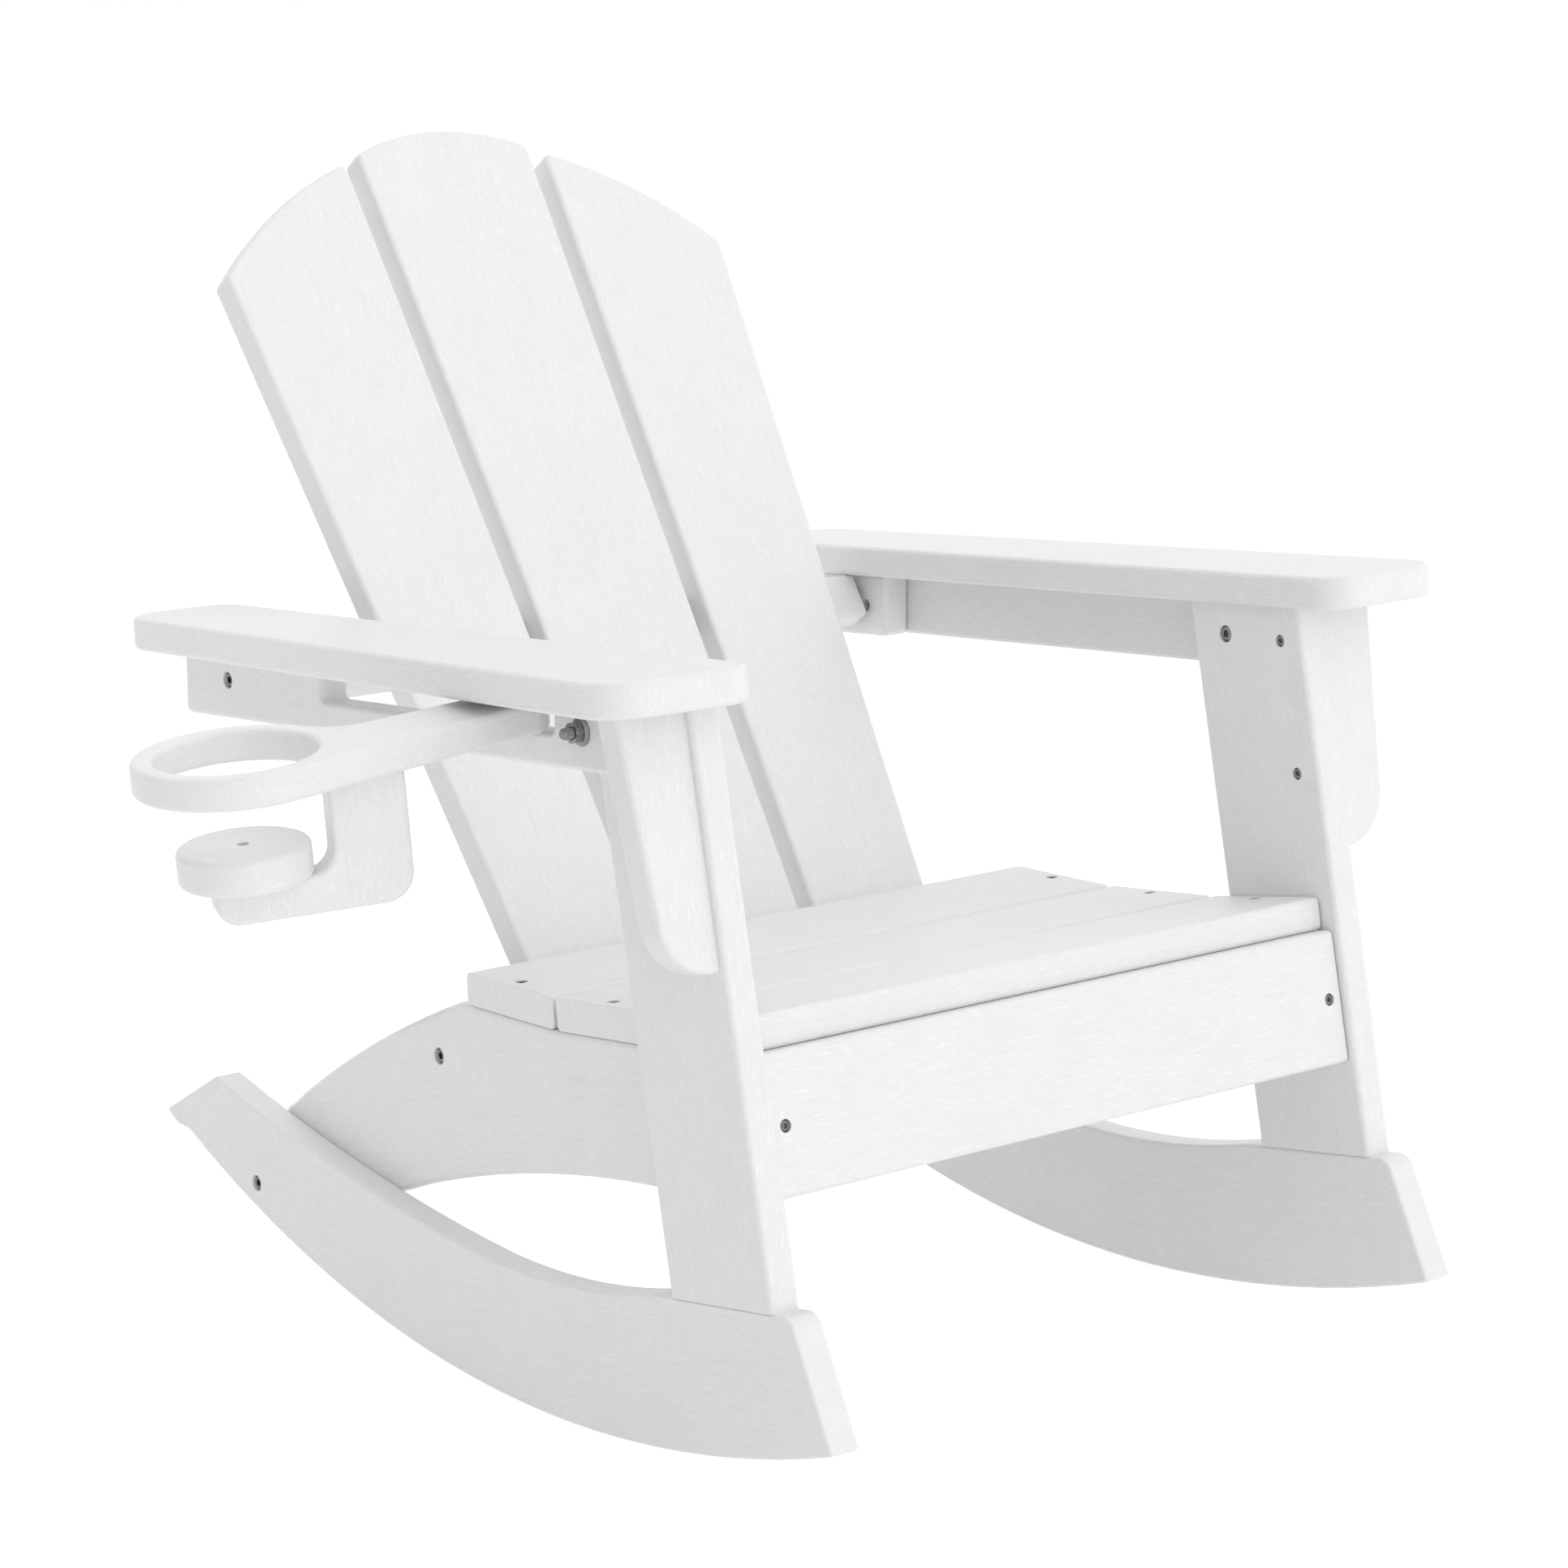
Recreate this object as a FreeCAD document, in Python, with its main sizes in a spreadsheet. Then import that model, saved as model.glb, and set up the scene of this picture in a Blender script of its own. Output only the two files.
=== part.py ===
import FreeCAD, Part
import Sketcher
import math
import os

# Rocking Adirondack chair for a child, with a swing-out cup holder.
# Axes: X to the sitter's left-hand side when seen from the front, Y to the rear, Z up, millimetres.
# The chair is drawn about its own centre plane, with Y = 0 where the rockers touch the floor.

doc = FreeCAD.newDocument("RockingAdirondackChair")
sheet = doc.addObject("Spreadsheet::Sheet", "Sizes")


# A size carries its present value and the words that bind a feature to the sheet.
class Size:
    def __init__(self, value, words):
        self.value = value
        self.words = words

    def join(self, other, sign, value):
        return Size(value, "(" + self.words + " " + sign + " " + other.words + ")")

    def __add__(self, other):
        other = as_size(other)
        return self.join(other, "+", self.value + other.value)

    def __radd__(self, other):
        return as_size(other) + self

    def __sub__(self, other):
        other = as_size(other)
        return self.join(other, "-", self.value - other.value)

    def __rsub__(self, other):
        return as_size(other) - self

    def __mul__(self, other):
        other = as_size(other)
        return self.join(other, "*", self.value * other.value)

    def __rmul__(self, other):
        return as_size(other) * self

    def __truediv__(self, other):
        other = as_size(other)
        return self.join(other, "/", self.value / other.value)

    def __neg__(self):
        return Size(-self.value, "(-1 * " + self.words + ")")


def as_size(number):
    if isinstance(number, Size):
        return number
    return Size(float(number), "(" + repr(float(number)) + ")")


def sine(angle):
    angle = as_size(angle)
    return Size(math.sin(math.radians(angle.value)), "sin(" + angle.words + ")")


def cosine(angle):
    angle = as_size(angle)
    return Size(math.cos(math.radians(angle.value)), "cos(" + angle.words + ")")


def tangent(angle):
    angle = as_size(angle)
    return Size(math.tan(math.radians(angle.value)), "tan(" + angle.words + ")")


def root(square):
    return Size(math.sqrt(square.value), "sqrt(" + square.words + ")")


# The driving dimensions
driving_sizes = [
    # the boards
    ("board_thickness", 18.0),
    ("round_over", 3.0),
    ("small_corner", 4.0),
    ("end_round_over", 0.8),
    ("between_legs", 389.4),
    # the frame of the finished model, from the middle of the chair at the floor contact
    ("frame_shift_x", 77.6),
    ("frame_shift_y", -44.96),
    # the rockers
    ("rocker_radius", 808.8),
    ("rocker_front_reach", 286.5),
    ("rocker_nose", 14.2),
    ("rocker_nose_corner", 9.0),
    ("rocker_flat_height", 111.0),
    ("rocker_flat_fall", 9.83),
    ("rocker_flat_tail", 14.5),
    ("rocker_waist_place", 5.0),
    ("rocker_waist_height", 72.3),
    ("rocker_rear_place", 289.0),
    ("rocker_rear_sweep", 1500.0),
    ("rocker_rear_depth", 52.6),
    ("rocker_heel_place", 321.2),
    ("rocker_heel_length", 12.1),
    ("rocker_tip_length", 13.5),
    ("rocker_tip_rise", 6.3),
    ("rocker_kink_radius", 60.0),
    ("rocker_heel_corner", 12.0),
    ("rocker_corner", 2.0),
    ("rocker_round_over", 1.8),
    # the front legs and the apron
    ("leg_foot_place", 240.0),
    ("leg_lean", 12.63),
    ("leg_width", 84.0),
    ("apron_setback", 4.5),
    ("apron_height", 72.1),
    ("apron_top_height", 231.6),
    ("apron_end_gap", 0.6),
    # the seat
    ("seat_lip", 7.6),
    ("seat_gap", 3.7),
    ("seat_end_gap", 0.7),
    ("front_slat_width", 82.8),
    ("middle_slat_width", 82.5),
    ("rear_slat_width", 80.5),
    ("front_slat_rise", 10.8),
    ("middle_slat_rise", 7.3),
    ("rear_slat_rise", 2.9),
    # the side rails under the seat
    ("stringer_bow", 950.0),
    ("stringer_belly", 947.0),
    ("stringer_seat_reach", 8.0),
    ("stringer_drop", 5.0),
    ("stringer_knee_setback", 78.0),
    ("stringer_knee_drop", 16.6),
    ("stringer_knee_radius", 60.0),
    ("stringer_heel_corner", 8.0),
    ("stringer_tail_place", 285.0),
    ("stringer_tail_rise", 7.8),
    ("stringer_tail_cut", 13.0),
    ("stringer_tail_clearance", 6.0),
    ("stringer_heel_place", 209.5),
    # the back
    ("back_lean", 34.23),
    ("back_clearance", 14.07),
    ("back_foot_overhang", 34.9),
    ("centre_slat_half", 42.1),
    ("centre_slat_flare", 1.374),
    ("back_slat_gap", 10.0),
    ("side_slat_outer", 121.0),
    ("side_slat_flare", 4.483),
    ("centre_shoulder", 757.0),
    ("centre_crown_radius", 142.9),
    ("side_shoulder", 752.0),
    ("side_corner_height", 683.0),
    ("side_crown_radius", 255.7),
    ("upper_brace_clearance", 0.2),
    ("upper_brace_width", 27.8),
    ("upper_brace_end_gap", 4.2),
    ("lower_brace_width", 44.0),
    ("lower_brace_depth", 28.0),
    ("lower_brace_end_gap", 0.2),
    # the arms, their rails, blocks and corbels
    ("arm_height", 406.0),
    ("arm_fall", 4.98),
    ("arm_front_inner_lap", 4.1),
    ("arm_front_outer_reach", 86.4),
    ("arm_rear_outer_reach", 59.7),
    ("arm_rear_inner_lap", 12.1),
    ("arm_nose_inner", 32.1),
    ("arm_nose_outer", 26.5),
    ("arm_tail", 108.1),
    ("arm_front_inner_corner", 20.0),
    ("arm_front_outer_corner", 24.0),
    ("arm_rear_inner_corner", 18.0),
    ("arm_rear_outer_corner", 30.0),
    ("arm_rail_height", 37.6),
    ("arm_rail_tail", 73.9),
    ("arm_block_length", 101.0),
    ("corbel_setback", 4.0),
    ("corbel_reach_top", 41.1),
    ("corbel_reach_foot", 29.5),
    ("corbel_length", 132.5),
    ("corbel_corner", 30.0),
    # the cup holder: distances from its pivot, which stands upright
    ("pivot_standoff", 10.7),
    ("pivot_y", 65.9),
    ("paddle_thickness", 16.5),
    ("paddle_drop", 2.5),
    ("paddle_slope", 4.98),
    ("paddle_root_radius", 18.2),
    ("paddle_neck_flare", 3.5),
    ("paddle_neck_radius", 28.0),
    ("ring_place_x", 143.5),
    ("ring_place_y", 25.9),
    ("cup_radius", 40.0),
    ("ring_wall", 11.2),
    ("notch_end_clearance", 1.2),
    ("notch_root_clearance", 2.0),
    ("notch_bottom_clearance", 1.6),
    ("cup_depth", 46.4),
    ("base_radius", 33.0),
    ("base_thickness", 18.0),
    ("base_offset", 1.2),
    ("bracket_turn", 20.0),
    ("bracket_offset", 3.0),
    ("bracket_neck_place", 40.6),
    ("bracket_neck_width", 39.0),
    ("bracket_toe", 19.0),
    ("bracket_foot_height", 20.0),
    ("bracket_toe_corner", 12.0),
    ("bracket_heel_corner", 15.0),
    # the hardware
    ("hole_clearance", 0.1),
    ("bolt_radius", 3.0),
    ("bolt_head_radius", 4.7),
    ("bolt_head_height", 3.6),
    ("bolt_recess", 1.0),
    ("bolt_socket", 2.3),
    ("leg_bolt_setback", 58.3),
    ("leg_bolt_drop", 17.35),
    ("holder_leg_bolt_back", 8.8),
    ("bolt_blind_end", 3.0),
    ("bolt_end", 5.5),
    ("nut_radius", 5.85),
    ("nut_height", 4.8),
    ("nut_flange_radius", 7.4),
    ("nut_flange_height", 1.6),
    ("rear_bolt_behind", 26.8),
    ("rear_bolt_drop", 15.8),
    ("stringer_bolt_behind", 27.85),
    ("stringer_bolt_drop", 34.8),
    ("stringer_bolt_length", 52.0),
    ("rocker_bolt_place", 244.2),
    ("rocker_bolt_rise", 15.3),
    ("screw_radius", 1.9),
    ("screw_head_radius", 3.3),
    ("screw_head_height", 2.4),
    ("screw_recess", 0.4),
    ("screw_socket", 1.5),
    ("seat_screw_bite", 20.0),
    ("apron_screw_drop", 35.8),
    ("apron_screw_bite", 26.0),
    ("corbel_screw_back", 16.4),
    ("corbel_screw_high_drop", 19.4),
    ("corbel_screw_low_drop", 90.2),
    ("corbel_screw_bite", 22.0),
    ("block_screw_ahead", 8.3),
    ("block_screw_drop", 19.2),
    ("block_screw_depth", 9.0),
    ("block_screw_head_radius", 3.65),
    ("back_screw_bite", 12.0),
    ("back_screw_inset", 17.0),
    ("arm_screw_depth", 6.0),
    ("arm_screw_bite", 12.0),
    ("rail_screw_front_inset", 11.3),
    ("rail_screw_rear_inset", 14.9),
    ("leg_screw_inset", 15.0),
    ("leg_screw_drop", 21.0),
    ("leg_screw_rise", 22.0),
    ("leg_screw_bite", 14.0),
    ("dowel_radius", 4.0),
    ("dowel_length", 56.0),
    ("leg_dowel_spread", 22.0),
    ("pin_radius", 3.0),
    ("pin_length", 34.0),
    ("pivot_radius", 4.0),
    ("pivot_clearance", 0.06),
    ("pivot_head_radius", 7.0),
    ("pivot_head_height", 4.5),
    ("pivot_head_cover", 6.5),
    ("pivot_bite", 12.0),
    ("spacer_radius", 9.0),
    ("spacer_sink", 0.9),
    ("swing_clearance", 0.1),
    ("base_hole_radius", 3.0),
]
for row, (alias, number) in enumerate(driving_sizes, start=1):
    sheet.set("A" + str(row), alias.replace("_", " "))
    sheet.set("B" + str(row), str(number))
    sheet.setAlias("B" + str(row), alias)
doc.recompute()


class Names:
    pass


s = Names()
for alias, number in driving_sizes:
    setattr(s, alias, Size(float(sheet.get(alias)), "Sizes." + alias))

sub_parts = []


# Placing, with the shift from the chair's own middle to the frame's origin
def put(obj, x, y, z, axis=(1, 0, 0), angle=0.0):
    x = as_size(x) + s.frame_shift_x
    y = as_size(y) + s.frame_shift_y
    z = as_size(z)
    angle = as_size(angle)
    rotation = FreeCAD.Rotation(FreeCAD.Vector(*axis), angle.value)
    obj.Placement = FreeCAD.Placement(FreeCAD.Vector(x.value, y.value, z.value), rotation)
    obj.setExpression("Placement.Base.x", x.words)
    obj.setExpression("Placement.Base.y", y.words)
    obj.setExpression("Placement.Base.z", z.words)
    if isinstance(angle, Size) and "Sizes" in angle.words:
        obj.setExpression("Placement.Rotation.Angle", angle.words)


def arc_between(start, end, radius, left, middle=None):
    if middle:
        centre = FreeCAD.Vector(middle[0].value, middle[1].value, 0)
    else:
        chord = end - start
        normal = FreeCAD.Vector(-chord.y, chord.x, 0).normalize()
        rise = math.sqrt(max(radius * radius - chord.Length * chord.Length / 4, 0.0))
        centre = (start + end) * 0.5 + normal * (rise if left else -rise)
    circle = Part.Circle(centre, FreeCAD.Vector(0, 0, 1), radius)
    first, last = (start, end) if left else (end, start)
    from_angle = math.atan2(first.y - centre.y, first.x - centre.x)
    to_angle = math.atan2(last.y - centre.y, last.x - centre.x)
    return Part.ArcOfCircle(circle, from_angle, to_angle)


# A closed outline: corners as sizes, and sides straight unless given as arcs,
# each with its radius, whether it turns left, and its centre where it turns more than half round
def outline(body, name, plane, corners, arcs=None):
    arcs = arcs or {}
    sketch = body.newObject("Sketcher::SketchObject", name)
    support = [item for item in body.Origin.OriginFeatures if item.Role == plane][0]
    sketch.AttachmentSupport = (support, [""])
    sketch.MapMode = "FlatFace"
    corners = [(as_size(u), as_size(v)) for u, v in corners]
    points = [FreeCAD.Vector(u.value, v.value, 0) for u, v in corners]
    count = len(points)
    sides = []
    starts = []
    ends = []
    for i in range(count):
        start = points[i]
        end = points[(i + 1) % count]
        if i in arcs:
            radius, left = arcs[i][:2]
            sides.append(arc_between(start, end, as_size(radius).value, *arcs[i][1:]))
            starts.append(1 if left else 2)
            ends.append(2 if left else 1)
        else:
            sides.append(Part.LineSegment(start, end))
            starts.append(1)
            ends.append(2)
    sketch.addGeometry(sides, False)
    rules = []
    names = []
    for i in range(count):
        following = (i + 1) % count
        rules.append(Sketcher.Constraint("Coincident", i, ends[i], following, starts[following]))
        names.append(None)
    for i, (u, v) in enumerate(corners):
        rules.append(Sketcher.Constraint("DistanceX", -1, 1, i, starts[i], u.value))
        names.append(("across" + str(i), u))
        rules.append(Sketcher.Constraint("DistanceY", -1, 1, i, starts[i], v.value))
        names.append(("up" + str(i), v))
    for i, arc in arcs.items():
        radius = as_size(arc[0])
        rules.append(Sketcher.Constraint("Radius", i, radius.value))
        names.append(("radius" + str(i), radius))
    sketch.addConstraint(rules)
    for index, entry in enumerate(names):
        if entry:
            sketch.renameConstraint(index, entry[0])
            sketch.setExpression("Constraints." + entry[0], entry[1].words)
    return sketch


def circle_sketch(body, name, plane, across, up, radius):
    across, up, radius = as_size(across), as_size(up), as_size(radius)
    sketch = body.newObject("Sketcher::SketchObject", name)
    support = [item for item in body.Origin.OriginFeatures if item.Role == plane][0]
    sketch.AttachmentSupport = (support, [""])
    sketch.MapMode = "FlatFace"
    centre = FreeCAD.Vector(across.value, up.value, 0)
    sketch.addGeometry([Part.Circle(centre, FreeCAD.Vector(0, 0, 1), radius.value)], False)
    sketch.addConstraint([
        Sketcher.Constraint("DistanceX", -1, 1, 0, 3, across.value),
        Sketcher.Constraint("DistanceY", -1, 1, 0, 3, up.value),
        Sketcher.Constraint("Radius", 0, radius.value),
    ])
    for index, (word, size) in enumerate([("across", across), ("up", up), ("radius", radius)]):
        sketch.renameConstraint(index, word)
        sketch.setExpression("Constraints." + word, size.words)
    return sketch


def pad(body, sketch, length, symmetric=False, reverse=False):
    feature = body.newObject("PartDesign::Pad", sketch.Name + "_pad")
    feature.Profile = sketch
    length = as_size(length)
    feature.Length = length.value
    if symmetric:
        feature.SideType = "Symmetric"
    feature.Reversed = reverse
    feature.setExpression("Length", length.words)
    body.Tip = feature
    doc.recompute()
    return feature


# The pad's direction in the sketch's own axes, for finding its corner edges
def plane_axes(plane):
    if plane == "YZ_Plane":
        return FreeCAD.Vector(0, 1, 0), FreeCAD.Vector(0, 0, 1), FreeCAD.Vector(1, 0, 0)
    if plane == "XY_Plane":
        return FreeCAD.Vector(1, 0, 0), FreeCAD.Vector(0, 1, 0), FreeCAD.Vector(0, 0, 1)
    return FreeCAD.Vector(1, 0, 0), FreeCAD.Vector(0, 0, 1), FreeCAD.Vector(0, -1, 0)


def local_shape(body):
    return body.Tip.Shape


def round_corners(body, name, plane, corners, radii):
    first, second, along = plane_axes(plane)
    groups = {}
    for i, radius in radii.items():
        groups.setdefault(as_size(radius).words, []).append(i)
    for number, (words, members) in enumerate(groups.items()):
        radius = as_size(radii[members[0]])
        shape = local_shape(body)
        picked = []
        for index, edge in enumerate(shape.Edges, start=1):
            if len(edge.Vertexes) != 2:
                continue
            way = edge.Vertexes[1].Point - edge.Vertexes[0].Point
            if way.Length < 1e-6 or abs(way.normalize().dot(along)) < 0.999:
                continue
            at = edge.Vertexes[0].Point
            for i in members:
                u, v = as_size(corners[i][0]).value, as_size(corners[i][1]).value
                if abs(at.dot(first) - u) < 0.01 and abs(at.dot(second) - v) < 0.01:
                    picked.append("Edge" + str(index))
        carrier = body.Tip
        feature = body.newObject("PartDesign::Fillet", name + "_corners" + str(number))
        feature.Base = (carrier, picked)
        feature.Radius = radius.value
        feature.setExpression("Radius", radius.words)
        body.Tip = feature
        doc.recompute()


# Whether a point of an edge lies on the straight side between two corners
def on_side(point, plane, start, end):
    first, second = plane_axes(plane)[:2]
    run = as_size(end[0]).value - as_size(start[0]).value
    rise = as_size(end[1]).value - as_size(start[1]).value
    across = point.dot(first) - as_size(start[0]).value
    up = point.dot(second) - as_size(start[1]).value
    return abs(run * up - rise * across) < 0.01 * math.hypot(run, rise)


# The long round-over: every edge of the two broad faces, but not along a crisp side,
# where the board is butted against another
def round_edges(body, name, plane, levels, radius=None, crisp=()):
    radius = radius or s.round_over
    along = plane_axes(plane)[2]
    shape = local_shape(body)
    picked = []
    for index, edge in enumerate(shape.Edges, start=1):
        points = edge.discretize(3)
        if any(all(on_side(point, plane, *side) for point in points) for side in crisp):
            continue
        for level in levels:
            if all(abs(point.dot(along) - as_size(level).value) < 0.001 for point in points):
                picked.append("Edge" + str(index))
    carrier = body.Tip
    feature = body.newObject("PartDesign::Fillet", name + "_round_over")
    feature.Base = (carrier, picked)
    feature.Radius = radius.value
    feature.setExpression("Radius", radius.words)
    body.Tip = feature
    doc.recompute()


# One board: outline, thickness, corner radii and round-over. levels are its two broad faces.
def board(name, plane, corners, thickness, arcs=None, radii=None, symmetric=False, reverse=False,
          soft=True, crisp=(), edge_radius=None):
    body = doc.addObject("PartDesign::Body", name + "_board")
    body.Label = name + "_board"
    sketch = outline(body, name + "_outline", plane, corners, arcs)
    pad(body, sketch, thickness, symmetric, reverse)
    if radii:
        round_corners(body, name, plane, corners, radii)
    if soft:
        thickness = as_size(thickness)
        if symmetric:
            levels = [thickness / 2, -(thickness / 2)]
        elif reverse:
            levels = [0.0, -thickness]
        else:
            levels = [0.0, thickness]
        sides = [(corners[i], corners[(i + 1) % len(corners)]) for i in crisp]
        round_edges(body, name, plane, levels, edge_radius, sides)
    return body


def cylinder(name, radius, height, x, y, z, axis=(1, 0, 0), angle=0.0):
    obj = doc.addObject("Part::Cylinder", name)
    radius, height = as_size(radius), as_size(height)
    obj.Radius = radius.value
    obj.Height = height.value
    obj.setExpression("Radius", radius.words)
    obj.setExpression("Height", height.words)
    put(obj, x, y, z, axis, angle)
    return obj


def fuse(name, members):
    obj = doc.addObject("Part::MultiFuse", name)
    obj.Shapes = members
    return obj


def cut(name, base, tool):
    obj = doc.addObject("Part::Cut", name)
    obj.Base = base
    obj.Tool = tool
    return obj


# A line through a fastener: a point on the surface and the way its head faces
class Line:
    def __init__(self, x, y, z, axis, angle, way):
        self.x, self.y, self.z = as_size(x), as_size(y), as_size(z)
        self.axis = axis
        self.angle = as_size(angle)
        self.way = [as_size(part) for part in way]

    def at(self, distance):
        distance = as_size(distance)
        out = []
        for start, part in zip((self.x, self.y, self.z), self.way):
            still = part.value == 0.0 and "Sizes" not in part.words
            out.append(start if still else start + part * distance)
        return out


def line_x(x, y, z, side):
    return Line(x, y, z, (0, 1, 0), 90.0 * side, (side, 0.0, 0.0))


def line_tilted(x, y, z, angle):
    return Line(x, y, z, (1, 0, 0), angle, (0.0, -sine(angle), cosine(angle)))


def rod(name, line, radius, top, length):
    x, y, z = line.at(top - length)
    return cylinder(name, radius, length, x, y, z, line.axis, line.angle)


# A screw or bolt with a round head let into the surface and a six-sided socket,
# and the tool that bores for it
class Fastener:
    def __init__(self, name, line, length, shank, head, height, recess, socket):
        length, recess, height = as_size(length), as_size(recess), as_size(height)
        self.line = line
        head_rod = rod(name + "_head", line, head, -recess, height)
        shank_rod = rod(name + "_shank", line, shank, -recess - height, length - recess - height)
        blank = fuse(name + "_blank", [head_rod, shank_rod])
        drive = doc.addObject("Part::Prism", name + "_socket")
        drive.Polygon = 6
        drive.Circumradius = as_size(socket).value
        drive.setExpression("Circumradius", as_size(socket).words)
        drive.Height = (height * 1.4).value
        drive.setExpression("Height", (height * 1.4).words)
        x, y, z = line.at(-recess - height * 0.6)
        put(drive, x, y, z, line.axis, line.angle)
        self.solid = cut(name, blank, drive)
        bore = rod(name + "_bore", line, shank + s.hole_clearance, 0.5, length + 1.0)
        sink = rod(name + "_sink", line, head + s.hole_clearance, 6.0, 6.0 + recess + height)
        self.tool = fuse(name + "_tool", [bore, sink])


def bolt(name, line, length, recess=None):
    recess = s.bolt_recess if recess is None else recess
    head = s.bolt_head_radius
    return Fastener(name, line, length, s.bolt_radius, head, s.bolt_head_height, recess, s.bolt_socket)


def screw(name, line, length, recess=None, head=None):
    recess = s.screw_recess if recess is None else recess
    head = s.screw_head_radius if head is None else head
    return Fastener(name, line, length, s.screw_radius, head, s.screw_head_height, recess, s.screw_socket)


# A plain pin set half in each of two boards
class Pin:
    def __init__(self, name, line, radius, top, length):
        self.line = line
        self.solid = rod(name, line, radius, top, length)
        top, length = as_size(top), as_size(length)
        self.tool = rod(name + "_tool", line, radius + s.hole_clearance, top + 0.5, length + 1.0)


def group(name, fasteners):
    obj = doc.addObject("Part::Compound", name)
    obj.Links = [item.solid for item in fasteners]
    obj.Label = name
    sub_parts.append(obj)
    return obj


# Bores a board for all that passes through it, and keeps it as a sub-part
def bored(name, body, fasteners):
    tools = [item.tool for item in fasteners]
    if not tools:
        body.Label = name
        sub_parts.append(body)
        return body
    tool = tools[0] if len(tools) == 1 else fuse(name + "_bores", tools)
    obj = cut(name, body, tool)
    obj.Label = name
    sub_parts.append(obj)
    return obj


# Lines that several pieces share, seen from the side: Y to the rear, Z up
half = s.between_legs / 2
outer = half + s.board_thickness
inner = half - s.board_thickness
far = outer + s.board_thickness
lean = tangent(s.leg_lean)
fall = tangent(s.arm_fall)
flat_fall = tangent(s.rocker_flat_fall)


# Any plane parallel to the leg's front, set back by a distance at right angles to it
def lean_y(z, setback=0.0):
    return lean * (z - s.rocker_flat_height) - s.leg_foot_place + as_size(setback) / cosine(s.leg_lean)


def arm_under(y):
    return s.arm_height - s.board_thickness / cosine(s.arm_fall) - fall * y


# Where a leaning plane meets a line that falls to the rear: height at y = 0, and its fall
def lean_meets(height, slope, setback=0.0):
    zero = s.leg_foot_place + lean * s.rocker_flat_height - as_size(setback) / cosine(s.leg_lean)
    z = (height + slope * zero) / (1 + slope * lean)
    return lean * z - zero, z


def flat_z(y):
    return s.rocker_flat_height - flat_fall * (y + s.leg_foot_place)


def floor_arc_z(y, clearance=0.0):
    radius = s.rocker_radius - clearance
    return s.rocker_radius - root(radius * radius - y * y)


# Rockers
nose_y = -s.leg_foot_place - s.rocker_nose * cosine(s.rocker_flat_fall)
nose_z = s.rocker_flat_height + s.rocker_nose * sine(s.rocker_flat_fall)
leg_rear_foot = lean_meets(s.rocker_flat_height - flat_fall * s.leg_foot_place, flat_fall, s.leg_width)
kink_y = leg_rear_foot[0] + s.rocker_flat_tail
kink_z = flat_z(kink_y)
front_rise = kink_z - s.rocker_waist_height
front_run = kink_y - s.rocker_waist_place
front_waist_radius = (front_run * front_run + front_rise * front_rise) / (2 * front_rise)
rocker_rear_z = floor_arc_z(s.rocker_rear_place) + s.rocker_rear_depth
heel_z = floor_arc_z(s.rocker_heel_place)
rocker_corners = [
    (-s.rocker_front_reach, floor_arc_z(s.rocker_front_reach)),
    (s.rocker_heel_place, heel_z),
    (s.rocker_heel_place + s.rocker_heel_length, heel_z),
    (s.rocker_heel_place + s.rocker_heel_length + s.rocker_tip_length, heel_z + s.rocker_tip_rise),
    (s.rocker_rear_place, rocker_rear_z),
    (s.rocker_waist_place, s.rocker_waist_height),
    (kink_y, kink_z),
    (nose_y, nose_z),
]
rocker_arcs = {0: (s.rocker_radius, True), 4: (s.rocker_rear_sweep, False), 5: (front_waist_radius, False)}
rocker_radii = {0: s.rocker_corner, 1: s.rocker_heel_corner, 2: s.rocker_corner, 3: s.rocker_corner,
                4: s.rocker_corner, 6: s.rocker_kink_radius, 7: s.rocker_nose_corner}

# Front legs
leg_top_front = lean_meets(arm_under(as_size(0.0)), fall)
leg_top_rear = lean_meets(arm_under(as_size(0.0)), fall, s.leg_width)
leg_corners = [
    (-s.leg_foot_place, s.rocker_flat_height),
    leg_rear_foot,
    leg_top_rear,
    leg_top_front,
]

# Seat line from the apron to the rear edge, along the undersides of the slats
apron_top_y = lean_y(s.apron_top_height, s.apron_setback)


def seat_step(place, length, rise):
    return place[0] + length * cosine(rise), place[1] - length * sine(rise)


seat_front = (apron_top_y, s.apron_top_height)
front_slat_reach = s.seat_lip + s.front_slat_width + s.seat_gap / 2
seat_break_front = seat_step(seat_front, front_slat_reach, s.front_slat_rise)
seat_break_rear = seat_step(seat_break_front, s.middle_slat_width + s.seat_gap, s.middle_slat_rise)
seat_rear = seat_step(seat_break_rear, s.rear_slat_width + s.seat_gap / 2, s.rear_slat_rise)

# Apron
board_run = s.board_thickness * cosine(s.leg_lean)
board_drop = s.board_thickness * sine(s.leg_lean)
apron_rise = tangent(s.front_slat_rise)
apron_back_z = ((s.apron_top_height + apron_rise * (apron_top_y - lean_y(as_size(0.0), s.apron_setback)
                - s.board_thickness / cosine(s.leg_lean))) / (1 + apron_rise * lean))
apron_back_y = lean_y(apron_back_z, s.apron_setback + s.board_thickness)
apron_foot_z = s.apron_top_height - s.apron_height * cosine(s.leg_lean)
apron_foot_y = apron_top_y - s.apron_height * sine(s.leg_lean)
apron_corners = [
    (apron_foot_y, apron_foot_z),
    (apron_foot_y + board_run, apron_foot_z - board_drop),
    (apron_back_y, apron_back_z),
    (apron_top_y, s.apron_top_height),
]

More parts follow.
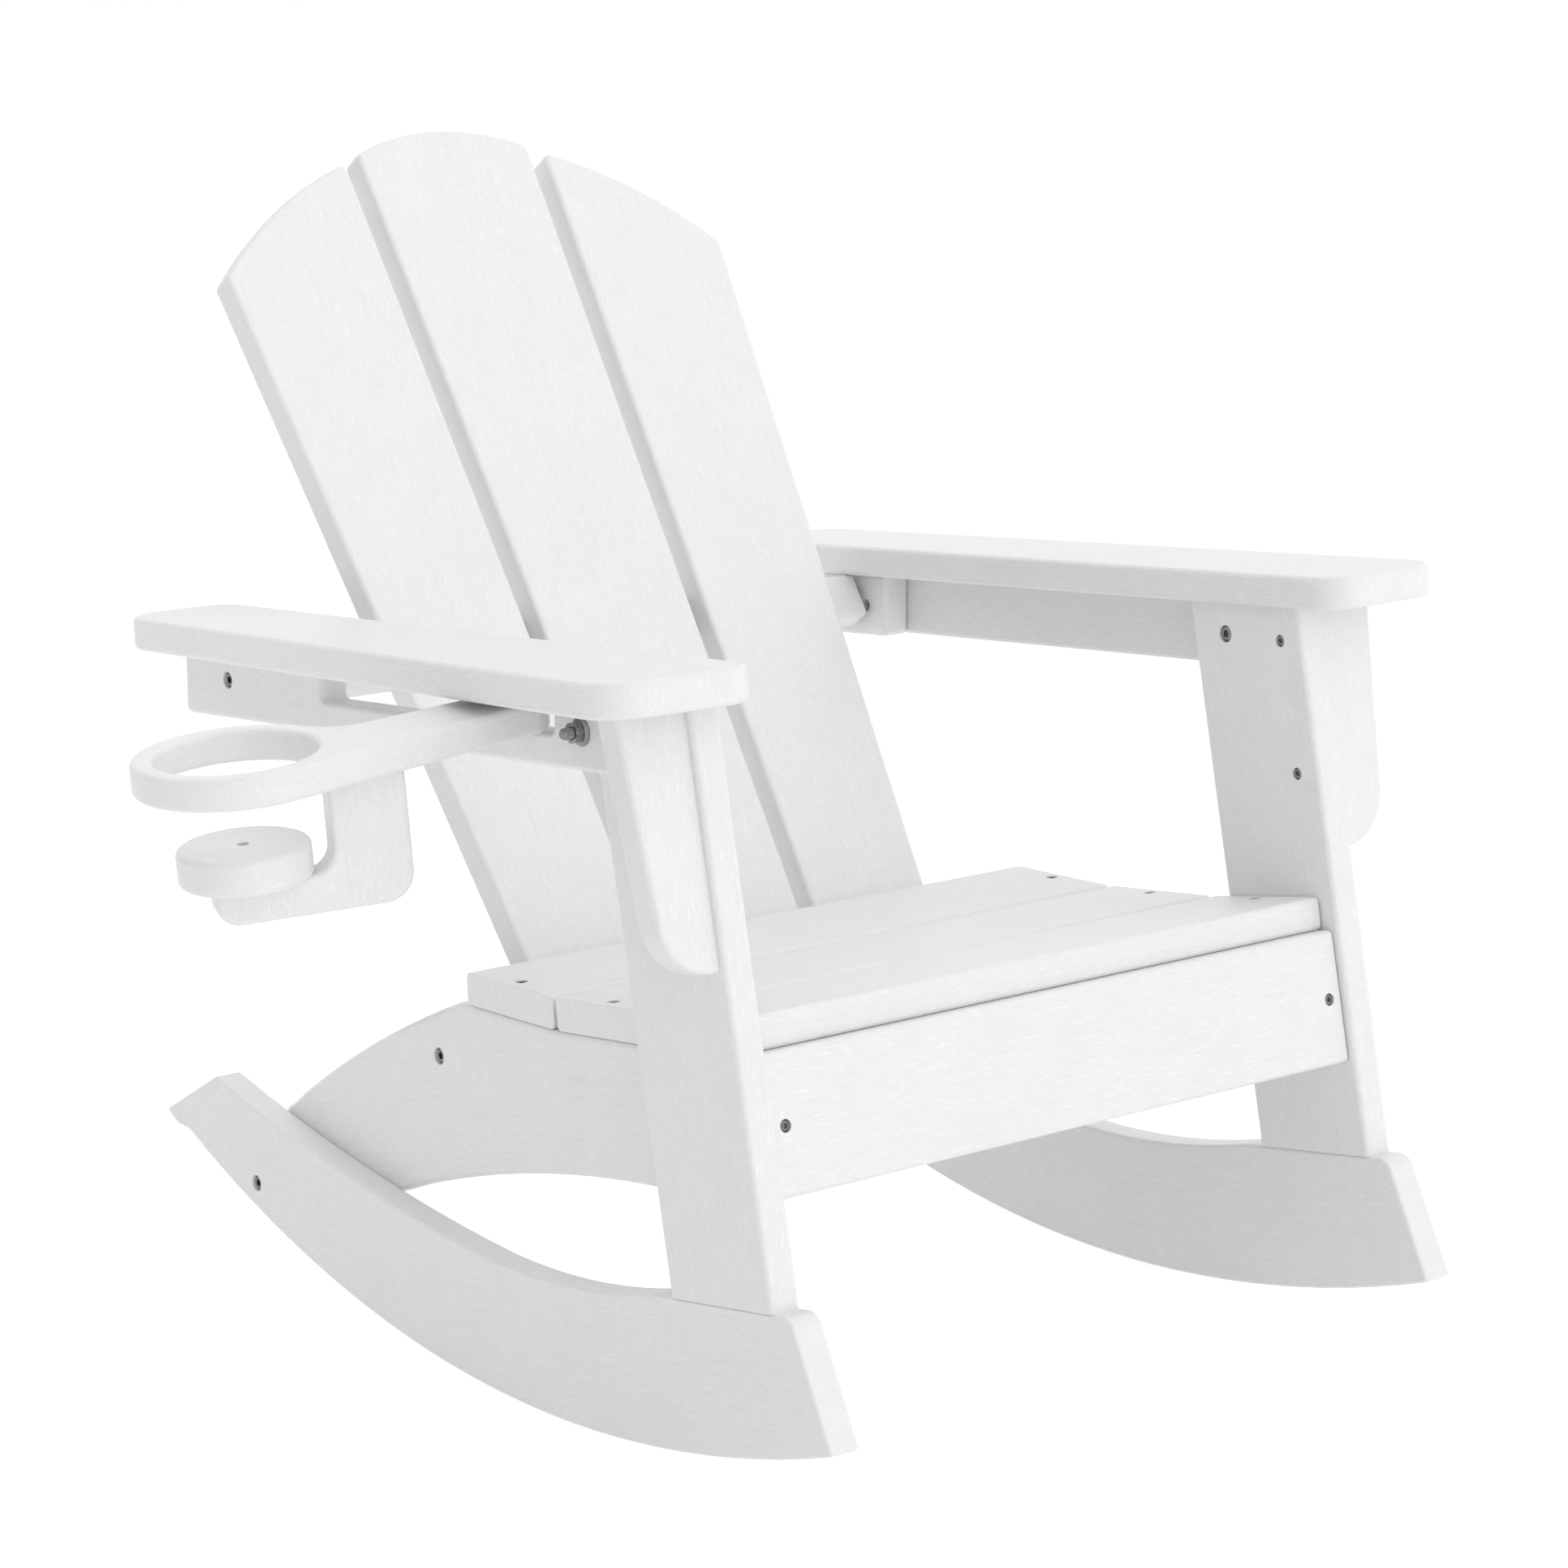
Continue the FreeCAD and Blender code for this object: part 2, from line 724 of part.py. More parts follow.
# Seat stringers
stringer_end_y = s.stringer_tail_place - s.stringer_tail_cut
stringer_end_z = floor_arc_z(stringer_end_y, s.stringer_tail_clearance)
stringer_front_z = apron_foot_z - s.stringer_drop
stringer_knee_z = apron_foot_z - s.stringer_knee_drop
stringer_corners = [
    (lean_y(stringer_front_z, s.apron_setback + s.board_thickness), stringer_front_z),
    (lean_y(stringer_knee_z, s.stringer_knee_setback), stringer_knee_z),
    (s.stringer_heel_place, floor_arc_z(s.stringer_heel_place, s.stringer_tail_clearance)),
    (stringer_end_y, stringer_end_z),
    (s.stringer_tail_place, stringer_end_z + s.stringer_tail_rise),
    seat_step(seat_rear, s.stringer_seat_reach, s.rear_slat_rise),
    seat_break_rear,
    seat_break_front,
    (apron_back_y, apron_back_z),
]
stringer_arcs = {
    1: (s.stringer_belly, False),
    2: (s.rocker_radius - s.stringer_tail_clearance, True),
    4: (s.stringer_bow, True),
}
stringer_radii = {0: s.small_corner, 1: s.stringer_knee_radius, 2: s.stringer_heel_corner,
                  3: s.small_corner, 4: s.small_corner, 5: s.small_corner}

# Back: along the slats from the height of the floor, and square to them
back_y = seat_rear[0] + s.back_clearance - tangent(s.back_lean) * seat_rear[1]


def back_point(along, behind):
    y = back_y + along * sine(s.back_lean) + behind * cosine(s.back_lean)
    z = along * cosine(s.back_lean) - behind * sine(s.back_lean)
    return y, z


def centre_edge(along):
    return s.centre_slat_half + tangent(s.centre_slat_flare) * along


def side_inner(along):
    return centre_edge(along) + s.back_slat_gap


def side_outer(along):
    return s.side_slat_outer + tangent(s.side_slat_flare) * along


# the lower brace stands where the stringer bolts run into its ends
stringer_bolt_y = seat_rear[0] + s.stringer_bolt_behind
stringer_bolt_z = seat_rear[1] - s.stringer_bolt_drop
bolt_y = stringer_bolt_y - back_y
lower_along = bolt_y * sine(s.back_lean) + stringer_bolt_z * cosine(s.back_lean)
lower_behind = bolt_y * cosine(s.back_lean) - stringer_bolt_z * sine(s.back_lean)
back_foot = lower_along - s.back_foot_overhang

# the upper brace stands just under the arms, whose falling undersides its rounded top edge clears
upper_behind = s.board_thickness * 1.5
brace_turn = s.back_lean - s.arm_fall
brace_ease = s.round_over * (cosine(brace_turn) + sine(brace_turn) - 1) - s.upper_brace_clearance
brace_level = (arm_under(back_y + s.board_thickness * cosine(s.back_lean))
               + s.board_thickness * sine(s.back_lean) + brace_ease / cosine(s.arm_fall))
upper_top = brace_level / (cosine(s.back_lean) + fall * sine(s.back_lean))
upper_foot = upper_top - s.upper_brace_width
upper_half = half - s.upper_brace_end_gap
brace_y = back_point(upper_foot + s.upper_brace_width / 2, upper_behind)[0]

# The arm rails and blocks run past the upper brace to the rear
rail_rear = brace_y + s.arm_rail_tail
block_front = rail_rear - s.arm_block_length

# Cup holder: its pivot stands upright under the arm, and its ring lies off to the side
pivot_x = -far - s.pivot_standoff
pivot_y = -s.pivot_y
ring_x = -s.ring_place_x
ring_y = s.ring_place_y
ring_radius = s.cup_radius + s.ring_wall
reach_square = ring_x * ring_x + ring_y * ring_y
reach = root(reach_square)
notch_rear = pivot_y + reach + ring_radius + s.notch_end_clearance
notch_front = pivot_y - s.paddle_root_radius - s.notch_root_clearance

# Fasteners on both sides; side is -1 on the side of the cup holder
sides = [("left", -1.0), ("right", 1.0)]
leg_bolts, leg_nuts, rear_bolts, stringer_bolts, rocker_bolts = [], [], [], [], []
corbel_screws, block_screws, arm_screws, stringer_screws = [], [], [], []
apron_screws, brace_pins, leg_dowels = [], [], []
by_side = {}
corbel_front = lean_meets(arm_under(as_size(0.0)), fall, s.corbel_setback)
corbel_back = lean_meets(arm_under(as_size(0.0)), fall, s.corbel_setback + s.board_thickness)
rail_front_y, rail_front_z = corbel_back
rail_screw_places = [rail_front_y + s.rail_screw_front_inset, (notch_rear + block_front) / 2,
                     rail_rear - s.rail_screw_rear_inset]
high_z = apron_back_z - s.leg_screw_drop
low_z = stringer_front_z + s.leg_screw_rise
stringer_screw_places = [
    (lean_y(high_z, s.apron_setback + s.board_thickness + s.leg_screw_inset), high_z),
    (lean_y(low_z, s.leg_width - s.leg_screw_inset), low_z),
]
leg_bolt_line = arm_under(as_size(0.0)) - s.leg_bolt_drop
rear_bolt_y = brace_y + s.rear_bolt_behind
rear_bolt_z = arm_under(rear_bolt_y) - s.rear_bolt_drop
block_screw_y = brace_y - s.block_screw_ahead
block_screw_z = arm_under(block_screw_y) - s.block_screw_drop
rocker_bolt_z = floor_arc_z(s.rocker_bolt_place) + s.rocker_bolt_rise
for word, side in sides:
    mine = {}
    nut_end = s.board_thickness * 2 + s.nut_flange_height + s.nut_height + s.bolt_end
    setback = s.leg_bolt_setback if side > 0 else s.leg_bolt_setback + s.holder_leg_bolt_back
    leg_bolt_at = lean_meets(leg_bolt_line, fall, setback)
    at = line_x(half * side, leg_bolt_at[0], leg_bolt_at[1], -side)
    mine["leg_bolt"] = bolt("leg_bolt_" + word, at, nut_end, s.screw_recess)
    flange_at = line_x(far * side, leg_bolt_at[0], leg_bolt_at[1], side)
    flange_height = s.nut_flange_height
    flange = rod("nut_flange_" + word, flange_at, s.nut_flange_radius, flange_height, flange_height)
    hexagon = doc.addObject("Part::Prism", "nut_hexagon_" + word)
    hexagon.Polygon = 6
    hexagon.Circumradius = s.nut_radius.value
    hexagon.setExpression("Circumradius", s.nut_radius.words)
    hexagon.Height = s.nut_height.value
    hexagon.setExpression("Height", s.nut_height.words)
    x, y, z = flange_at.at(s.nut_flange_height)
    put(hexagon, x, y, z, flange_at.axis, flange_at.angle)
    nut_blank = fuse("nut_blank_" + word, [flange, hexagon])
    nut_bore = rod("nut_bore_" + word, flange_at, s.bolt_radius + s.hole_clearance, 12.0, 14.0)
    nut = Names()
    nut.solid = cut("nut_" + word, nut_blank, nut_bore)
    mine["nut"] = nut

    at = line_x(far * side, rear_bolt_y, rear_bolt_z, side)
    mine["rear_bolt"] = bolt("rear_bolt_" + word, at, s.board_thickness * 2 - s.bolt_blind_end)
    at = line_x(half * side, stringer_bolt_y, stringer_bolt_z, side)
    mine["stringer_bolt"] = bolt("stringer_bolt_" + word, at, s.stringer_bolt_length)
    at = line_x(outer * side, s.rocker_bolt_place, rocker_bolt_z, side)
    mine["rocker_bolt"] = bolt("rocker_bolt_" + word, at, s.board_thickness * 2 - s.bolt_blind_end)

    mine["corbel_screws"] = []
    for tag, drop in (("high", s.corbel_screw_high_drop), ("low", s.corbel_screw_low_drop)):
        height = corbel_front[1] - drop
        at = line_x(half * side, lean_y(height, s.corbel_screw_back), height, -side)
        length = s.board_thickness + s.corbel_screw_bite
        mine["corbel_screws"].append(screw("corbel_screw_" + tag + "_" + word, at, length))
    at = line_x(half * side, block_screw_y, block_screw_z, -side)
    deep = s.board_thickness * 2 - s.bolt_blind_end
    mine["block_screw"] = screw("block_screw_" + word, at, deep, s.block_screw_depth,
                                s.block_screw_head_radius)

    mine["arm_screws"] = []
    for number, place in enumerate(rail_screw_places):
        rail_x = (outer + s.board_thickness / 2) * side
        rail_z = arm_under(place) - s.arm_rail_height
        at = line_tilted(rail_x, place, rail_z, 180.0 - s.arm_fall)
        length = s.arm_rail_height + s.arm_screw_bite
        mine["arm_screws"].append(screw("arm_screw_" + word + str(number), at, length, s.arm_screw_depth))
    mine["stringer_screws"] = []
    for number, (place, height) in enumerate(stringer_screw_places):
        at = line_x(inner * side, place, height, -side)
        length = s.board_thickness + s.leg_screw_bite
        mine["stringer_screws"].append(screw("stringer_screw_" + word + str(number), at, length))

    apron_z = s.apron_top_height - s.apron_screw_drop
    at = line_tilted((half - s.board_thickness / 2) * side, lean_y(apron_z, s.apron_setback), apron_z,
                     90.0 - s.leg_lean)
    mine["apron_screw"] = screw("apron_screw_" + word, at, s.board_thickness + s.apron_screw_bite)

    pin_y, pin_z = back_point(upper_foot + s.upper_brace_width * 0.6, upper_behind)
    at = line_x(half * side, pin_y, pin_z, side)
    mine["brace_pin"] = Pin("brace_pin_" + word, at, s.pin_radius, s.board_thickness - 5.0, s.pin_length)

    mine["leg_dowels"] = []
    for number, hand in enumerate((-1.0, 1.0)):
        back = s.leg_width / 2 + s.leg_dowel_spread * hand
        foot_y, foot_z = lean_meets(s.rocker_flat_height - flat_fall * s.leg_foot_place, flat_fall, back)
        at = line_tilted((half + s.board_thickness / 2) * side, foot_y, foot_z, -s.leg_lean)
        middle = s.dowel_length / 2
        dowel = Pin("leg_dowel_" + word + str(number), at, s.dowel_radius, middle, s.dowel_length)
        mine["leg_dowels"].append(dowel)
    by_side[word] = mine
    leg_bolts.append(mine["leg_bolt"])
    leg_nuts.append(mine["nut"])
    rear_bolts.append(mine["rear_bolt"])
    stringer_bolts.append(mine["stringer_bolt"])
    rocker_bolts.append(mine["rocker_bolt"])
    corbel_screws += mine["corbel_screws"]
    block_screws.append(mine["block_screw"])
    arm_screws += mine["arm_screws"]
    stringer_screws += mine["stringer_screws"]
    apron_screws.append(mine["apron_screw"])
    brace_pins.append(mine["brace_pin"])
    leg_dowels += mine["leg_dowels"]

# Seat screws: one near each end of each slat, at its middle, down into the stringers
slat_list = [
    ("front", seat_break_front, s.front_slat_width, s.front_slat_rise, s.seat_gap / 2),
    ("middle", seat_break_rear, s.middle_slat_width, s.middle_slat_rise, s.seat_gap / 2),
    ("rear", seat_rear, s.rear_slat_width, s.rear_slat_rise, as_size(0.0)),
]
seat_screws = []
slat_screws = {}
for slat, rear_edge, width, rise, gap in slat_list:
    slat_screws[slat] = []
    back = width / 2 + gap
    y = rear_edge[0] - back * cosine(rise) + s.board_thickness * sine(rise)
    z = rear_edge[1] + back * sine(rise) + s.board_thickness * cosine(rise)
    for word, side in sides:
        at = line_tilted((half - s.board_thickness / 2) * side, y, z, -rise)
        one = screw("seat_screw_" + slat + "_" + word, at, s.board_thickness + s.seat_screw_bite)
        slat_screws[slat].append(one)
        seat_screws.append(one)

# Back screws: from behind, through each brace into each slat
back_screws = []
back_screws_by = {"upper": [], "lower": [], "left": [], "centre": [], "right": []}
lower_rear = lower_behind + s.lower_brace_depth / 2
brace_rows = [
    ("upper", upper_foot + s.upper_brace_width / 2, s.board_thickness * 2, s.board_thickness),
    ("lower", lower_along + s.lower_brace_width / 4, lower_rear, s.lower_brace_depth),
]
for level, along, behind, depth in brace_rows:
    y, z = back_point(along, behind)
    spots = []
    for slat, hand in (("left", -1.0), ("right", 1.0)):
        spots.append((slat, (side_inner(along) + s.back_screw_inset) * hand))
        spots.append((slat, (side_outer(along) - s.back_screw_inset) * hand))
    spots.append(("centre", centre_edge(along) - s.back_screw_inset))
    spots.append(("centre", s.back_screw_inset - centre_edge(along)))
    for number, (slat, x) in enumerate(spots):
        at = line_tilted(x, y, z, -90.0 - s.back_lean)
        one = screw("back_screw_" + level + str(number), at, depth + s.back_screw_bite)
        back_screws.append(one)
        back_screws_by[level].append(one)
        back_screws_by[slat].append(one)

# Pivot bolt and spacer of the cup holder
under_z = arm_under(pivot_y)
paddle_top = under_z - s.paddle_drop
spacer_top = under_z + s.spacer_sink
spacer_foot = paddle_top - s.spacer_sink
head_top = paddle_top - s.paddle_thickness / cosine(s.paddle_slope) + s.pivot_head_cover
pivot_bolt_head = cylinder("pivot_head", s.pivot_head_radius, s.pivot_head_height, pivot_x, pivot_y,
                           head_top - s.pivot_head_height)
pivot_shank = cylinder("pivot_shank", s.pivot_radius, under_z + s.pivot_bite - head_top, pivot_x, pivot_y,
                       head_top)
pivot_blank = fuse("pivot_blank", [pivot_bolt_head, pivot_shank])
pivot_drive = doc.addObject("Part::Prism", "pivot_drive")
pivot_drive.Polygon = 6
pivot_drive.Circumradius = 3.0
pivot_drive.Height = 4.0
put(pivot_drive, pivot_x, pivot_y, head_top - s.pivot_head_height - 1.5)
pivot = cut("pivot_bolt", pivot_blank, pivot_drive)
pivot.Label = "pivot_bolt"
sub_parts.append(pivot)
spacer_disc = cylinder("spacer_disc", s.spacer_radius, spacer_top - spacer_foot, pivot_x, pivot_y,
                       spacer_foot)
running_radius = s.pivot_radius + s.pivot_clearance
spacer_hole = cylinder("spacer_hole", running_radius, 10.0, pivot_x, pivot_y, spacer_foot - 2.0)
spacer = cut("pivot_spacer", spacer_disc, spacer_hole)
spacer.Label = "pivot_spacer"
sub_parts.append(spacer)
arm_pivot = Names()
arm_pivot.tool = fuse("arm_pivot_tool", [
    cylinder("arm_pivot_bore", s.pivot_radius + s.hole_clearance, s.pivot_bite + 6.0, pivot_x, pivot_y,
             under_z - 5.0),
    cylinder("arm_pivot_seat", s.spacer_radius + s.swing_clearance, spacer_top - paddle_top, pivot_x,
             pivot_y, paddle_top),
])

# Ring and paddle, drawn in their own plane about the pivot
ratio = (s.paddle_root_radius - ring_radius) / reach
cross = root(1 - ratio * ratio)
# unit normal of the front edge, which touches both the root and the ring
front_nx = (ring_x * ratio - ring_y * cross) / reach
front_ny = (ring_y * ratio + ring_x * cross) / reach
neck_sine = sine(s.paddle_neck_flare)
neck_cosine = cosine(s.paddle_neck_flare)
to_neck = s.paddle_root_radius - (ring_x * neck_sine + ring_y * neck_cosine)
half_chord = root(ring_radius * ring_radius - to_neck * to_neck)
paddle_corners = [
    (s.paddle_root_radius * front_nx, s.paddle_root_radius * front_ny),
    (s.paddle_root_radius * neck_sine, s.paddle_root_radius * neck_cosine),
    (ring_x + to_neck * neck_sine + half_chord * neck_cosine,
     ring_y + to_neck * neck_cosine - half_chord * neck_sine),
    (ring_x + ring_radius * front_nx, ring_y + ring_radius * front_ny),
]
paddle_arcs = {
    0: (s.paddle_root_radius, True, (as_size(0.0), as_size(0.0))),
    2: (ring_radius, True, (ring_x, ring_y)),
}


# A point of the cup holder: along and across the paddle from the pivot, and up from its top
def cup_point(along, across, up):
    along, across, up = as_size(along), as_size(across), as_size(up)
    x = pivot_x + along * cosine(s.paddle_slope) - up * sine(s.paddle_slope)
    y = pivot_y + across
    z = paddle_top + along * sine(s.paddle_slope) + up * cosine(s.paddle_slope)
    return x, y, z


def cup_line(along, across, up):
    x, y, z = cup_point(along, across, up)
    way = (-sine(s.paddle_slope), 0.0, cosine(s.paddle_slope))
    return Line(x, y, z, (0, 1, 0), -s.paddle_slope, way)


turn_sine = sine(s.bracket_turn)
turn_cosine = cosine(s.bracket_turn)
bracket_x = ring_x - s.bracket_offset * turn_sine
bracket_y = ring_y - s.bracket_offset * turn_cosine
base_x = ring_x - s.base_offset
base_screw = screw("base_screw", cup_line(base_x, ring_y, -s.cup_depth), s.base_thickness + 14.0, 6.0,
                   s.base_hole_radius - s.hole_clearance)
bracket_pins = []
for number, share in enumerate((0.28, 0.72)):
    along = s.bracket_neck_place + s.bracket_neck_width * share
    at = cup_line(bracket_x + along * turn_cosine, bracket_y - along * turn_sine, -s.paddle_thickness)
    bracket_pins.append(Pin("bracket_pin_" + str(number), at, s.pin_radius, 9.0, 22.0))

paddle = board("cup_ring", "XY_Plane", paddle_corners, s.paddle_thickness, paddle_arcs,
               {2: s.paddle_neck_radius}, reverse=True, soft=False)
cup_sketch = circle_sketch(paddle, "cup_bore_outline", "XY_Plane", ring_x, ring_y, s.cup_radius)
before = paddle.Shape.Volume
cup_bore = paddle.newObject("PartDesign::Pocket", "cup_bore")
cup_bore.Profile = cup_sketch
cup_bore.Type = "ThroughAll"
cup_bore.SideType = "Symmetric"
paddle.Tip = cup_bore
doc.recompute()
if paddle.Shape.Volume > before - 1000.0:
    raise RuntimeError("the cup bore cut nothing")
round_edges(paddle, "cup_ring", "XY_Plane", [0.0, -s.paddle_thickness])
x, y, z = cup_point(0.0, 0.0, 0.0)
put(paddle, x, y, z, (0, 1, 0), -s.paddle_slope)
paddle_hardware = [
    cylinder("paddle_pivot_bore", running_radius, 40.0, pivot_x, pivot_y, paddle_top - 30.0),
    cylinder("paddle_top_seat", s.spacer_radius + s.swing_clearance * 4, 8.0, pivot_x, pivot_y,
             spacer_foot - s.swing_clearance),
    cylinder("paddle_head_seat", s.pivot_head_radius + s.swing_clearance * 4, 20.0, pivot_x, pivot_y,
             head_top + s.swing_clearance - 20.0),
]
paddle_pivot = Names()
paddle_pivot.tool = fuse("paddle_pivot_tool", paddle_hardware)
bored("cup_ring", paddle, [paddle_pivot] + bracket_pins)

# Foot that carries the cup, and the round base screwed to it
foot_top = -s.cup_depth - s.base_thickness
foot_bottom = foot_top - s.bracket_foot_height
neck_rear = s.bracket_neck_place + s.bracket_neck_width
bracket_corners = [
    (s.bracket_neck_place, -s.paddle_thickness),
    (s.bracket_neck_place, foot_top),
    (-s.bracket_toe, foot_top),
    (-s.bracket_toe, foot_bottom),
    (neck_rear, foot_bottom),
    (neck_rear, -s.paddle_thickness),
]
inner_corner = (s.bracket_neck_place + s.base_offset * turn_cosine - s.base_radius + s.round_over
                - s.hole_clearance)
bracket_radii = {0: s.small_corner, 1: inner_corner, 2: s.small_corner, 3: s.bracket_toe_corner,
                 4: s.bracket_heel_corner, 5: s.small_corner}
bracket = board("cup_bracket", "XZ_Plane", bracket_corners, s.board_thickness, None, bracket_radii,
                symmetric=True)
x, y, z = cup_point(bracket_x, bracket_y, 0.0)
x, y = x + s.frame_shift_x, y + s.frame_shift_y
bracket.setExpression("Placement", "placement(vector(" + x.words + "; " + y.words + "; " + z.words
                      + "); rotationy(-1 * Sizes.paddle_slope) * rotationz(-1 * Sizes.bracket_turn))")
bored("cup_bracket", bracket, [base_screw] + bracket_pins)
base = doc.addObject("PartDesign::Body", "cup_base_board")
base_sketch = circle_sketch(base, "cup_base_outline", "XY_Plane", base_x, ring_y, s.base_radius)
pad(base, base_sketch, s.base_thickness, reverse=True)
round_edges(base, "cup_base", "XY_Plane", [0.0, -s.base_thickness])
x, y, z = cup_point(0.0, 0.0, -s.cup_depth)
put(base, x, y, z, (0, 1, 0), -s.paddle_slope)
bored("cup_base", base, [base_screw])
group("cup_base_screw", [base_screw])
group("cup_bracket_pins", bracket_pins)

# Corbel of the cup holder's side: leans with the leg, its top cut to the arm,
# its outer side tapered and rounded at the foot
corbel_foot_y = corbel_front[0] - s.corbel_length * sine(s.leg_lean)
corbel_foot_z = corbel_front[1] - s.corbel_length * cosine(s.leg_lean)
corbel_corners = [
    (corbel_foot_y, corbel_foot_z),
    (corbel_foot_y + board_run, corbel_foot_z - board_drop),
    corbel_back,
    corbel_front,
]
corbel = board("arm_corbel", "YZ_Plane", corbel_corners, s.corbel_reach_top, soft=False)
# waste outside the taper, seen from the front
wedge_foot = corbel_corners[1][1] - 5.0
wedge_top = corbel_front[1] + 5.0
wedge = [
    (s.corbel_reach_top - s.corbel_reach_foot, wedge_foot),
    (as_size(-20.0), wedge_foot),
    (as_size(-20.0), wedge_top),
    (as_size(0.0), wedge_top),
]
taper_sketch = outline(corbel, "corbel_taper_outline", "XZ_Plane", wedge)
before = corbel.Shape.Volume
taper = corbel.newObject("PartDesign::Pocket", "corbel_taper")
taper.Profile = taper_sketch
taper.Type = "ThroughAll"
taper.SideType = "Symmetric"
corbel.Tip = taper
doc.recompute()
if corbel.Shape.Volume > before - 100.0:
    raise RuntimeError("the corbel's taper cut nothing")


# Edges of the corbel chosen by a test on points along them
def corbel_edges(test):
    picked = []
    for index, edge in enumerate(corbel.Tip.Shape.Edges, start=1):
        if test(edge, edge.discretize(5)):
            picked.append("Edge" + str(index))
    return picked


def soften_corbel(name, picked, radius):
    carrier = corbel.Tip
    feature = corbel.newObject("PartDesign::Fillet", name)
    feature.Base = (carrier, picked)
    feature.Radius = radius.value
    feature.setExpression("Radius", radius.words)
    corbel.Tip = feature
    doc.recompute()


# the outer corner of the foot, which runs through the plate's thickness
def is_foot_corner(edge, points):
    middle = (points[0] + points[-1]) * 0.5
    low = (corbel_corners[0][1].value + corbel_corners[1][1].value) / 2
    outside = s.corbel_reach_top.value - middle.x
    if abs(points[0].x - points[-1].x) > 0.5:
        return False
    return abs(outside - s.corbel_reach_foot.value) < 3.0 and abs(middle.z - low) < 3.0


# the long edges away from the leg and below the arm, front and back
def is_outer_edge(edge, points):
    outside = [s.corbel_reach_top.value - point.x for point in points]
    across = [point.y - lean.value * point.z for point in points]
    top = max(point.z for point in points)
    if max(outside) < 0.01 or max(across) - min(across) > 0.05:
        return False
    near_top = min(abs(top - corbel_front[1].value), abs(top - corbel_back[1].value)) < 0.5
    return not (near_top and edge.Length < s.corbel_reach_top.value * 1.4)


soften_corbel("corbel_corner", corbel_edges(is_foot_corner), s.corbel_corner)
soften_corbel("corbel_round_over", corbel_edges(is_outer_edge), s.round_over)
put(corbel, -outer - s.corbel_reach_top, 0.0, 0.0)
doc.recompute()
corbel_mirror = doc.addObject("Part::Mirroring", "arm_corbel_mirror")
corbel_mirror.Source = corbel
corbel_mirror.Normal = (1, 0, 0)
corbel_mirror.Base = (s.frame_shift_x.value, 0, 0)
corbel_mirror.setExpression("Base.x", s.frame_shift_x.words)
bored("arm_corbel_left", corbel, by_side["left"]["corbel_screws"])
bored("arm_corbel_right", corbel_mirror, by_side["right"]["corbel_screws"])

